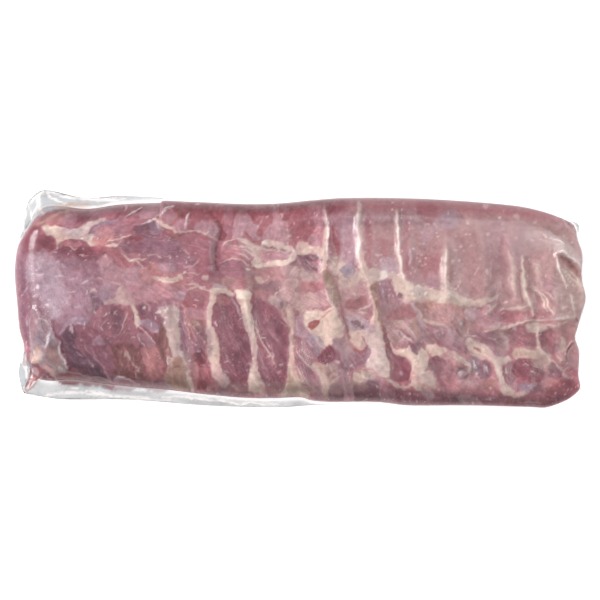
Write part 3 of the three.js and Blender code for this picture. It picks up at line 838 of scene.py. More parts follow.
def paint_middle_low(c):
    """The ribs and the muscle between them, in the photograph's lower middle."""
    c.patch("salmon", "150,352 160,350 168,360 168,376 164,392 146,392", 0.5, 4, 0.3, (-80, 0.5, "blood"))
    c.patch("brown", "160,326 167,326 170,344 172,356 168,364 160,350", 0.8, 3, -0.5, (80, 0.5, "tan"))
    c.spot("wine", (165, 371), 3, 0.6, 2.4, -0.3)
    # Between the first two ribs.
    c.patch("rose", "180,302 212,300 211,320 208,345 212,366 190,366 180,350 178,330", 0.9, 3, 0, (-60,
        0.4, "muscle"))
    c.patch("pink", "181,303 196,310 210,312 210,320 200,320 190,316 184,312", 0.7, 2.4, 0.3)
    c.patch("red", "182,304 188,301.5 195,303 197,307 190,308.5 184,307", 0.85, 1.8, 0.2)
    c.patch("violet", "179,312 183,316 187,330 190,345 190,360 187,364 182,352 179.5,338 178,322", 0.85,
        2, 0.4, (-70, 0.5, "lilac"))
    c.patch("olive", "192,320 199,320 206,331 208,343 202,340 196,332", 0.6, 2, -0.4, (-50, 0.7, "plum"))
    c.patch("mauve", "188,338 196,338 203,345 201,350 193,352 188,347", 0.75, 2, 0.3, (-50, 0.3, "lilac"))
    c.patch("wine", "191,356 195,352 202,349 206,352 208,359 205,366 202,368 196,364 192,360", 0.9, 1.6,
        -0.6, (-60, 0.5, "plum"))
    c.line("salmon", 2, "208,338 209,350 209,362 / 192,367 203,369 212,369", 0.7, 1.8, 0.2)
    c.patch("red", "193,370 203,369 212,371 216,378 219,389 213,394 200,394 193,390", 0.95, 1.8, 0.5,
        (-70, 0.5, "rose"))
    c.spot("wine", (203, 385), 5, 0.5, 5)
    c.line("cream", 1.4, "182,304 184,314 190,325 197,339 200,347 / 186,315 194,327 202,338 206,345 /"
        " 190,318 197,325 203,333 / 195,320 202,328 / 183,316 189,331 193,343", 0.6, 1.2, 0.2)
    # The first rib and the round lobe at its end.
    c.patch("rib", "159,309 167,306 178,308 178,320 179,335 180.5,350 184,358 174,360 171,350 168.5,338"
        " 165,326 163,318", 0.96, 1.6, 0.9, (-86, 0.35, "grey"))
    c.patch("pink", "160,303 178,302 178,308 162,309", 0.5, 2.4)
    c.patch("tan", "172,358 182,358 187,366 190,377 191,387 186,392 176,391 168,387 165,380 166,373"
        " 169,365", 0.92, 1.8, 1, (-70, 0.5, "olive"))
    c.line("brown", 2.4, "169,372 174,368 180,366", 0.6, 1.8, -0.2)
    c.line("rib", 4.5, "181,357 187,366 190,376 192,386 193,396", 0.9, 1.8, 0.5, 0.2)
    c.spot("olive", (178, 383), 4, 0.4, 3)
    # The first full lens of muscle.
    lens(c, "217,296 222,294 230,296 235,303 239,313 243,322 248,332 250.5,342 252.5,352 252,362 250,372"
        " 249,382 247,391 243,392 238,386 231,381 226,373 222,364 220,356 219,345 218,335 216,328 213,323"
        " 214,312 216,303", [("243,326 249,334 251,346 251,362 249,384 244,389 240,370 242,350 240,338",
        0.85), ("232,356 242,352 246,372 244,388 236,380", 0.5), ("236,310 241,322 238,330 232,318",
        0.45)], "221,309 225,316 227,321 / 228,310 231,318 235,325 / 222,318 226,325 229,330 231,336"
        " 235,341 239,347 / 229,322 233,329 237,335 / 233,310 236,318 240,325 / 219,303 221,308 / 224,334"
        " 229,343 236,352 / 221,346 226,356 233,364 / 232,340 238,348 243,357")
    c.patch("salmon", "216,298 222,296 230,298 232,304 224,306 217,304", 0.5, 3, 0.2)
    c.line("white", 1.5, "216.5,320 217,326 / 225,361 227,363", 0.7, 1.1, 0.2)
    c.line("grey", 2.6, "233,297 236,304 239,312 242,319", 0.8, 1.5, 0.3)
    c.spot("mauve", (245.5, 338.5), 3, 0.7, 2)
    # The second rib.
    c.patch("rib", "210,291 214,288 222,289 231,291 236,296 230,296 222,293.5 217,296 215.5,303 213,314"
        " 212.5,324 216,332 218,342 219,355 221,364 225,373 230,381 226,388 219,384 213,374 210.5,362"
        " 208.5,346 206.5,332 207,318 209,306", 0.95, 1.6, 0.9, (-88, 0.4, "cream"))
    c.patch("pink", "210,362 220,366 229,383 222,388 214,378", 0.6, 3, 0, (-70, 0.5, "cream"))
    c.line("grey", 2.6, "223,372 228,380 234,387 240,392", 0.85, 1.6, 0.3)
    c.line("tan", 1.8, "206.5,312 205.5,322 207,334", 0.5, 1.6)
    c.line("salmon", 1.8, "213,298 215,296 222,293 / 216,333 218,345 220,358", 0.6, 1.4, 0.2)
    # The second lens, with the crackled fat over it.
    c.patch("rose", "252,292 262,290 266,304 262,320 256,314 252,304", 0.9, 1.8, -0.5, (-80, 0.5, "red"))
    lens(c, "254,300 262,297 270,301 276,306 281,312 285,320 287,328 289,338 289,346 284,349 287,354"
        " 289,362 288,372 284,375 281,377 285,383 284,386 276,386 268,382 262,376 257,368 256,358 256,348"
        " 256,335 256,324 254,312", [("276,318 284,322 288,332 288,345 283,347 279,338 275,328", 0.75), (
        "280,354 288,356 288,372 282,374", 0.6), ("268,372 280,372 286,383 276,386", 0.55)],
        "265,306 267,315 270,325 273,332 276,337 / 263,318 268,328 274,337 280,345 / 259,340 263,348"
        " 268,357 273,367 278,374 283,381 / 270,313 276,320 281,325 / 275,316 281,322 286,326 / 258,355"
        " 262,364 268,373 / 262,334 269,344 277,354 / 266,346 273,356 281,366 / 258,366 264,374 272,380")
    c.patch("mauve", "256,345 262,350 266,362 268,376 260,372 256,360", 0.5, 3)
    c.line("cream", 1.7, "256,320 258,331 262,340 267,349 272,358 277,367", 0.85, 1.2, 0.4)
    c.patch("grey", "268,297 280,297 286,304 282,311 272,304", 0.75, 2.2, 0.4, (-40, 0.5, "cream"))
    c.patch("olive", "278,303 286,306 291,322 289,332 284,318", 0.6, 2.2, 0.2, (-60, 0.6, "cream"))
    c.spot("plum", (281, 306), 2, rise=-0.4, stretch=1.6, angle=90)
    c.line("cream", 1.1, "272,302 277,309 284,314 / 281,311 286,319 / 275,308 282,316 287,324", 0.7, 1.1,
        0.2)
    # The third rib, wide where it leaves the fat above it.
    c.patch("rib", "236,291 250,291 251,302 252.5,312 254,320 256,327 257,336 258,345 257,355 257.5,366"
        " 260,378 265,388 268,396 250,395 249.5,382 251,370 253,358 252,350 250,340 247,330 244,320"
        " 241,309 238,299", 0.95, 1.6, 0.9, (-78, 0.4, "cream"))
    c.line("fat", 2.4, "243,296 246,308 250,322 254,338", 0.7, 2, 0.3)
    c.patch("fat", "237,292 249,292 250,299 240,299", 0.7, 2, 0.4)
    c.line("pink", 2, "256,340 255,356 257,370", 0.6, 1.6)
    c.line("white", 1.2, "259,376 262,382 266,388", 0.6, 1.1)
    # The fourth, narrow rib.
    c.patch("rib", "286,306 291,304 293,314 295,325 294,338 293.5,350 295,362 298,374 304,386 308,398"
        " 284,398 277,394 286,386 288,376 289.5,364 289,352 290,342 289,328 287,316", 0.92, 1.6, 0.8,
        (-80, 0.5, "tan"))
    c.patch("olive", "289,372 293,376 297,386 300,399 288,399", 0.55, 2.6)
    c.patch("lilac", "296,318 304,316 309,326 306,340 298,338", 0.5, 2.4, 0.3)
    c.patch("cream", "296,300 310,304 312,316 300,316", 0.5, 3, 0.2)
    c.patch("rose", "295,338 299,336 303,342 301,348 299,352 297,362 294.5,352", 0.85, 1.6, -0.5)
    c.patch("mauve", "295,354 302,358 308,368 316,382 318,392 308,392 302,380 297,368", 0.8, 2.4, 0.3,
        (-60, 0.5, "rose"))
    c.line("cream", 1.3, "296,348 299,357 305,365 311,371 / 300,346 304,353 310,360 / 297,366 302,377"
        " 309,388", 0.85, 1.2, 0.4)
    # Along the edge.
    c.patch("plum", "219,391 225,387 230,389 229,394 223,397 218,395", 0.85, 1.8, 0.3)
    c.patch("wine", "211,390 216,391 219,395 214,395", 0.7, 1.8)
    c.patch("pink", "183,392 196,394 208,395 200,400 182,399", 0.75, 2)
    c.patch("red", "243,394 249,392 256,393 264,392 266,397 254,402 243,402", 0.75, 1.8, 0.2, (-30, 0.5,
        "pink"))
    c.patch("rose", "258,384 268,386 280,389 276,396 264,392", 0.6)
    c.spot("slate", (271, 398), 3, 0.5, 2, stretch=1.6)


def paint_loin_side(c):
    """The loin muscle and the ridges of the ribs under it, right of the middle, with painted highlights
    on the ridges and painted shade to their right.
    """
    c.patch("red", "306,196 330,196 346,198 344,208 326,208 308,210", 0.6, 4)
    c.patch("rose", "338,196 480,200 560,210 560,218 470,212 345,208", 0.6, 5)
    c.patch("red", "417,202 436,203 433,222 421,222", 0.6, 5, -0.3)
    c.patch("veiled", "308,206 316,204 325,207 326,212 318,214 309,213", 0.75, 2, 0.2)
    # Painted shade right of the first ridge.
    c.patch("red", "328,213 332,225 336,233 340,242 341,250 338,257 330,257 329,245 330,230", 0.9, 2.4,
        -0.8)
    c.patch("veiled", "330,214 340,213 350,218 347,228 339,233 334,226", 0.75, 3, 0.3)
    c.line("pink", 1.6, "326,209 330,220 335,231 339,240", 0.6, rise=0.3)
    # Painted light on the first ridge's left flank, its pale crest, partly the rib's own colour and
    # partly painted highlight, and a white painted highlight along it.
    c.patch("pink", "315,212 323,210 324,235 322,258 315,250", 0.6, 4, 0.5)
    c.patch("rib", "324.5,206 326,206 328,222 329,240 328,255 326,268 325,276 321,274 321.5,258 322.5,240"
        " 324,222", 0.9, 3, 0.9)
    c.line("white", 2, "326,212 327,226 327.5,240 326.5,256", 0.75, 1.8, 0.3)
    c.patch("veiled", "309,237 314,235 318,240 319,247 314,247 309,242", 0.7, 2, 0.2)
    c.patch("cream", "303,250 310,247 322,249 321,260 312,257 304,255", 0.8, rise=0.4)
    c.patch("plum", "298,256 305,255 312,254 319,259 312,261 302,260 / 300,262 308,261 314,266 316,270"
        " 310,274 303,270", 0.85, 1.8, -0.3, (-42, 0.5, "mauve"))
    c.line("rib", 1, "302,262 307,266 313,272 / 305,260 311,265 316,269 / 308,256 314,259", blur=1)
    c.patch("slate", "300,271 312,274 318,280 304,281", 0.45, 3)
    c.patch("cream", "300,270 320,276 322,282 302,282", 0.5, 4)
    c.patch("red", "300,282 312,283 322,284 322,291 310,293 300,291", 0.7, 3, 0, (-10, 0.5, "salmon"))
    c.patch("pink", "300,294 322,292 328,304 322,309 304,306", 0.8, 3, 0.3, (-30, 0.7, "cream"))
    c.patch("olive", "323,272 330,273 336,286 338,298 336,310 331,300 326,290", 0.85, 2, -0.8, (70, 0.6,
        "brown"))
    c.patch("veiled", "341,224 357,222 358,262 350,268 341,262", 0.9, 4, -0.2, (78, 0.4, "lilac"))
    # A painted highlight in pink.
    c.line("pink", 1.5, "342,218 350,211 359,203", 0.6, 1.4, 0.2)
    c.patch("rib", "329,257 340,256 342,268 338,276 330,272", 0.8, 4, 0, (70, 0.5, "olive"))
    c.patch("cream", "340,262 350,268 358,272 358,292 342,292 338,276", 0.75, 3.4, 0.3, (60, 0.5, "grey"))
    c.patch("slate", "340,268 348,265 354,270 354,277 345,279 341,275", 0.75, 2, 0.2)
    # The second ridge: pale crest, partly the rib's own colour and partly painted highlight, a white
    # painted highlight, and painted shade to its right.
    c.patch("rib", "357,205 361,205 361,240 366,262 367,280 359,280 357.5,262 355.5,240", 0.85, 2.6, 0.8)
    c.line("white", 2, "358,212 357,230 358.5,250 361,270", 0.75, 2, 0.3)
    c.line("pink", 1.6, "361,210 361,235 363,258", blur=1.6)
    c.patch("red", "365,218 371,222 371,266 366,268", 0.65, 3, -0.5)
    c.patch("rose", "371,240 385,240 388,256 380,266 371,262", 0.5, 5)
    c.line("pink", 1.1, "370,221 384,221.5 396,220", 0.5, 1.2, 0.2)
    c.patch("lilac", "379,258 392,257 398,266 396,278 381,275", 0.6, 3, 0.2)
    c.patch("rib", "366,270 379,269 398,276 402,290 396,292 392,282 380,280 372,286 367,284", 0.8, 3, 0.4)
    c.patch("white", "380,271 387,270 387,280 380,280", 0.5, 3)
    # The third ridge: pale crest, partly the rib's own colour and partly painted highlight, a white
    # painted highlight, and painted shade to its right.
    c.patch("rib", "394.5,211 397,211 399,238 401,256 404,274 407,290 411,300 406,300 401,286 398,262"
        " 396,240", 0.9, 2.6, 0.9)
    c.line("white", 1.9, "396,216 397,234 399,252 401,266 404,282", 0.75, 1.8, 0.3)
    c.patch("rose", "402,218 407,222 410,262 410,280 405,276 402,250", 0.7, 3.4, -0.6)
    c.patch("haze", "411,214 418,232 422,246 428,244 432,236 440,229 456,228 456,211 444,212 436,221"
        " 429,227 420,227 414,220", 0.45, 3, 0.2)
    c.patch("red", "408,255 430,255 446,262 438,272 424,280 408,280", 0.4, 6)
    c.line("lilac", 2.6, "409,250 410,259 409.5,266", 0.7, 1.6, 0.3)
    for x, y in (
        (408, 224), (408, 230), (415, 210), (392, 210), (370, 222), (424, 259), (415, 258), (418, 262),
        (420, 255), (425, 264), (413, 250), (456, 236), (480, 259), (502, 224),
    ):
        c.spot("white", (x, y), 0.9, 0.6, 1.1)
    # A fourth ridge: pale crest, partly the rib's own colour and partly painted highlight, with a white
    # painted highlight.
    c.patch("rib", "442,250 447,250 449,275 449,302 441,302 441,275", 0.65, 4.5, 0.9)
    c.line("white", 2, "444,254 444.5,272 445,292", 0.5, 2.4, 0.2)
    c.patch("veiled", "424,280 428,272 434,272 438,282 440,293 432,293 426,288", 0.75, 2.4, 0.2)
    c.patch("rib", "404,281 412,283 421,286 431,289 441,293 452,294 462,298 468,300 467,307 456,304"
        " 444,303 430,302 418,303 411,300 407,292", 0.95, 2.4, 0.7, (-18, 0.4, "fat"))
    c.patch("grey", "411,286 420,288 428,294 424,300 414,296", 0.45, 3, 0, (-30, 0.5, "olive"))


def paint_ridge_low(c):
    """The plate of fat, the cartilage and the ribs' ends below the middle."""
    c.patch("cream", "304,313 314,310 324,311 331,308 336,315 340,323 343,333 341,338 335,341 330,346"
        " 325,349 319,345 313,338 308,330 305,322", 0.95, 1.8, 0.8, (-50, 0.3, "fat"))
    c.line("fat", 3, "324,290 328,300 333,310 338,319 342,330", 0.8, 2, 0.6)
    c.line("brown", 3, "337,284 339,300 342,313", 0.75, 2, -0.6)
    c.line("wine", 2.6, "341,312 344,323 347,331 350,339", 0.75, 1.6, -0.5)
    c.patch("blood", "308.5,327 310,323 315,320.5 320,320 319.5,325 315,328.5 311,329.5", 0.95, 1.4, 0.3)
    c.line("salmon", 1.8, "319,320 325,314 332,310", 0.85)
    c.line("pink", 1.4, "304,310 315,309 326,311", 0.6)
    c.patch("slate", "306,340 312,334 320,337 324,342 322,350 317,357 311,350", 0.7, 2.4, 0.1, (-50, 0.5,
        "cream"))
    c.patch("deep muscle", "319,354 328,344 333,350 335,358 330,362 326,365 318,362 315,358", 0.9, 2,
        -0.6)
    c.patch("mauve", "332,341 338,337.5 344,343 347,349 353,351 362,350 367,346 371,348 369,356 365,362"
        " 358,366 352,371 346,367 340,359 335,352", 0.95, 1.6, 0.4, (-50, 0.4, "veiled"))
    c.line("lilac", 2.6, "332,341 336,349 341,358 347,366", 0.7, 1.8)
    c.patch("cream", "348,331 354,331 361,337 366,345 360,349 354,346 350,340", 0.92, 1.8, 0.6, (-50, 0.3,
        "salmon"))
    c.line("blood", 2.6, "351,344 353,348.5 358,350.5 364,349.5 366,346", 0.85, 1.4, -0.4)
    c.line("red", 3.2, "336,352 341,362 346,369 353,374", 0.85, 1.8, -0.4)
    c.patch("pink", "341,289 355,286 366,283 370,296 370,322 360,320 346,316 341,304", 0.85, 2.6, 0.2,
        (-30, 0.6, "rose"))
    c.patch("red", "344,303 350,298 358,299 364,295 367,300 366,306 358,309 350,308 345,308", 0.9, 1.8,
        -0.3, (-20, 0.4, "wine"))
    c.line("white", 1.5, "357,309 363,308 371,304 / 358,312 366,313 / 352,291 356,296", 0.65, rise=0.2)
    c.patch("lilac", "345,317 352,315.5 360,317 369,322 367,330 358,332 350,330 345,325", 0.8, 1.8, 0.3,
        (-30, 0.6, "slate"))
    c.patch("plum", "350,322 355,320.5 362,324 365,327.5 360,329.5 354,327", 0.9, 1.4, -0.3)
    c.line("white", 1, "351,324 356,327 362,330", 0.5, 1)
    c.patch("tan", "370,288 376,281 379,290 379,304 382,322 384,330 379,320 374,302", 0.85, 2, -0.5, (78,
        0.5, "brown"))
    c.patch("cream", "366,282 369,284 372,298 375,310 379,322 383,338 385,350 387,362 389,375 385,378"
        " 376,374 366,368 368,358 371,350 367,343 362,337 355,331 366,330 371,322 371,310 369,297", 0.95,
        1.8, 0.9, (-78, 0.35, "fat"))
    c.patch("veiled", "368,326 374,324 376,332 370,334", 0.7, 2)
    c.line("salmon", 1.4, "370,300 374,314 377,328", 0.5, 1.4)
    c.patch("mauve", "378,281 392,280 394,292 400,303 396,320 386,326 380,312", 0.9, 2.6, 0.3, (-75, 0.5,
        "veiled"))
    c.patch("rib", "392,281 402,282 406,292 404,302 396,296", 0.7, 2.4, 0.4)
    c.spot("plum", (400, 295.5), 2.6, 0.75, 1.8, -0.2, 1.3, -40)
    c.patch("red", "385,319 391,312 398,308 405,306.5 413,309 416,315 412,320 400,321 392,322", 0.9, 2,
        -0.3, (-15, 0.4, "plum"))
    c.patch("mauve", "384,320 400,321 416,319 421,330 420,348 408,348 394,344 386,334", 0.9, 2.4, 0.1,
        (-50, 0.6, "tan"))
    c.line("lilac", 1.3, "384,331 390,338 397,346 / 387,325 396,334 404,345 / 391,323 402,332 412,344 /"
        " 398,322 408,332 417,345", 0.7, 1.2, 0.2)
    c.line("plum", 1.1, "387,331 393,337 400,344 / 392,327 402,337 / 404,328 412,338 419,348", 0.6, 1.1)
    c.patch("wine", "381,325 385,330 389,340 391,350 390,362 386,356 384,344 382,334", 0.75, 1.8, -0.6)
    c.patch("cream", "389,341 394,347 399,349 406,349 410,346 416,351 421,348 425,352 428,358 428,366"
        " 424,373 416,373 411,369 411,361 405,357 399,356 393,351", 0.95, 1.6, 0.7, (-40, 0.3, "rib"))
    c.patch("plum", "408,341 413,345 416.5,351 415.5,355 411,350", 0.9, 1.3, -0.4)
    c.patch("deep muscle", "386,350 391,351 397,356 405,358 409.5,362 411.5,369 409,377 404,381 396,380.5"
        " 390,378 389,370 388,360", 0.95, 1.5, 0.4, (-60, 0.35, "muscle"))
    c.line("salmon", 1.4, "391,356 393,363 391,370", 0.6, 1.2)
    # A painted highlight in lilac on the dark muscle.
    c.spot("lilac", (401, 373), 1.6, 0.7, 1.3, stretch=1.3)
    c.patch("rib", "352,381 352,374 358,370 366,370 373,373 379,379 374,381 368,380 360,383", 0.85, 2,
        0.4, (-20, 0.5, "olive"))
    c.line("salmon", 2.2, "350,373 358,369 366,368 374,371 380,377 388,384", 0.8, 1.5, 0.4)
    c.patch("plum", "353,384 362,384 370,379 379,381 381,390 384,404 350,404", blur=2.6,
        grain=(-30, 0.4, "brown"))
    # A painted glint in slate.
    c.line("slate", 2, "366,396 372,394", 0.6, 1.6)
    c.patch("pink", "336,366 345,372 351,382 354,403 341,403 338,384", 0.85, 2.4, 0.2, (-75, 0.5,
        "mauve"))
    c.patch("rib", "314,362 326,364 336,364 338,376 334,398 324,397 318,384 312,370", 0.85, 2.4, 0.6,
        (-60, 0.6, "tan"))
    c.line("olive", 1.8, "326,376 332,371 338,368 / 328,380 334,376 339,373 / 331,384 337,380", 0.7, 1.4,
        -0.2)
    c.patch("plum", "330,384 342,382 343,403 331,403", 0.75, 3, -0.3, (-75, 0.4, "brown"))
    c.patch("mauve", "296,352 303,358 311,366 318,378 322,392 310,390 303,376", 0.85, 1.8, 0.3, (-55, 0.5,
        "rose"))
    c.line("cream", 1.4, "296,351 303,361 311,368 318,375 / 300,368 306,380 315,392", 0.8, 1.2, 0.3)
    # From the fat band down to the right.
    c.patch("salmon", "420,302 430,300 437,304 436,312 428,312 420,308", 0.75, 2.4, -0.2, (-40, 0.5,
        "tan"))
    c.patch("pink", "430,306 444,303 458,305 458,325 442,326 428,318", 0.8, 3, 0.2, (-30, 0.6, "salmon"))
    c.line("brown", 1.5, "425,311 431,313 436,317 / 438,319 444,321 / 424,307 430,310", 0.5, 1.4, -0.2)
    c.line("cream", 3, "412,304 418,313 424,320 434,324 446,326 458,329", 0.85, 1.8, 0.4)
    c.patch("violet", "418,322 426,326 434,336 432,345 424,344 419,336", 0.6, 2.4, 0, (-50, 0.6, "lilac"))
    c.line("lilac", 3, "403,301 411,304 416,314 421,323 429,331 438,337", 0.85, 1.6, 0.4)
    c.spot("lilac", (436, 332), 3, 0.6, 2, 0, 1.5, -30)
    c.patch("muscle", "430,334 442,334 458,340 460,358 448,352 438,345", 0.9, 2.2, 0.1, (-25, 0.5, "red"))
    c.patch("cream", "424,346 431,343 438,345 447,352 457,358 462,366 452,364 446,359 438,357 431,357"
        " 427,353", 0.92, 1.6, 0.6)
    c.patch("deep muscle", "429,359 434,356 440,358 447,358 452,364 452,372 450,378 446,387 440,386"
        " 436,379 431,372 428,365", 0.95, 1.5, 0.4, (-60, 0.4, "violet"))
    c.patch("violet", "440,362 447,362 450,369 446,376 441,373", 0.7)
    c.patch("rib", "411,371 420,373 428,370 434,378 438,388 446,390 440,394 426,390 412,387", 0.85, 2,
        0.4, (-30, 0.6, "salmon"))
    c.line("white", 3, "413,376 420,374 428,372", 0.5, 2, 0.2)
    c.line("rib", 4, "388,380 396,385 404,387 412,384", 0.8, 2, 0.3)
    c.patch("muscle", "386,390 420,390 458,391 458,408 386,408", blur=3, grain=(-15, 0.5, "plum"))
    c.patch("mauve", "380,386 392,388 396,402 382,404", 0.7, 3, 0, (-75, 0.5, "pink"))
    c.patch("grey", "421,389 430,389 436,398 428,400", 0.6)


def paint_tail_top(c):
    """The tail end in the photograph's upper right."""
    for x, y, size, stretch in (
        (486, 207, 2.6, 1), (516, 217, 2, 1.6), (486, 271, 2.2, 1), (487, 235, 1.4, 1),
        (516, 238, 1.3, 1), (452, 263, 1.6, 1.4), (458, 262, 1.3, 1), (535, 222, 1.2, 1.5),
        (470, 247, 1.1, 1),
    ):
        c.spot("white", (x, y), size, 0.4, stretch=stretch)
    c.line("white", 1.4, "492,243 495,246 / 489,280 491,262 / 474,276 478,268 / 500,232 504,229 / 466,222"
        " 471,225", 0.45, 1.4)
    c.spot("haze", (450, 220), 9, 0.4, 4, 0.2)
    c.line("loin", 12, "507,244 510,258 513,270 514,285 516,302", 0.6, 5, 0.9, 0.3)
    c.line("rib", 6, "508,252 511,262 513,275 515,300", 0.55, 4, 0.3, 0.3)
    c.line("rose", 3, "518,250 519.5,270 521,300", 0.4, 3, -0.4)
    c.line("rib", 6, "521,258 523,275 524,288 526,298 529,305 532,316", 0.8, 2.6, 0.9, 0.25)
    c.line("fat", 2.4, "522,264 523.5,278 525,292 529,304", 0.6, 1.8)
    c.line("rose", 4, "530,262 531,275 534,288", 0.35, 3.4, -0.4)
    c.line("rib", 4.5, "536,264 539,275 541,286", 0.6, 3, 0.6)
    c.patch("veiled", "540,276 560,282 582,296 584,340 566,330 548,300", 0.55, 8)
    c.patch("rose", "536,294 552,296 560,304 556,318 542,318 536,308", 0.75, 3, 0.2, (-35, 0.4, "pink"))
    c.line("rib", 2.4, "528,287 533,286 537,289", 0.85, 1.4, 0.3)
    c.line("rib", 2, "533,288 540,293 545,300 550,310 552,316 / 538,293 543,303 548,312 / 545,292 552,297"
        " 557,302", 0.75, 1.6, 0.3)
    # A painted sheen: white, and a broad pale wash in the loin's colour.
    c.patch("white", "550,240 560,238 572,246 580,258 578,266 566,256 554,250", 0.3, 10, 0.2)
    c.patch("loin", "522,228 552,226 560,238 546,254 528,252", 0.5, 12, 0.2)
    c.spot("haze", (559, 226), 2.6, 0.5, 1.8, 0.2)
    c.patch("olive", "563,216 569,216 571,221 565,221", 0.5, 2)
    c.patch("deep muscle", "569,222 574,222 575,227 570,227", 0.6, 2)
    c.patch("brown", "559,256 566,257 573,264 580,272 583,279 577,277 570,271 563,263", 0.55, 2.6, -0.3,
        (-50, 0.5, "rose"))
    # Pale lines in the fat's colour along the film's folds at the tail, partly milky film and partly
    # painted highlight.
    c.line("fat", 2, "554,257 555,254 558,253 563,253 568,256 573,260 578,265 580,269 / 555,256 557,262"
        " 560,270 562,278 566,286", 0.8, 1.5, 0.5)
    c.line("rib", 2, "562,270 567,275 572,279 578,285 584,292 / 563,273 568,280 574,287 / 566,268 575,277"
        " 583,288", 0.65, 1.6, 0.3)
    c.line("rib", 2.4, "572,292 573,305 575,316 / 582,290 581,300 579,310", 0.6, 1.8, 0.2)
    # A painted highlight in white.
    c.spot("white", (562, 307), 2.2, 0.55, 1.8)
    c.line("wine", 2.4, "566,308 567,313 / 575,318 578,322", 0.6, 1.8)


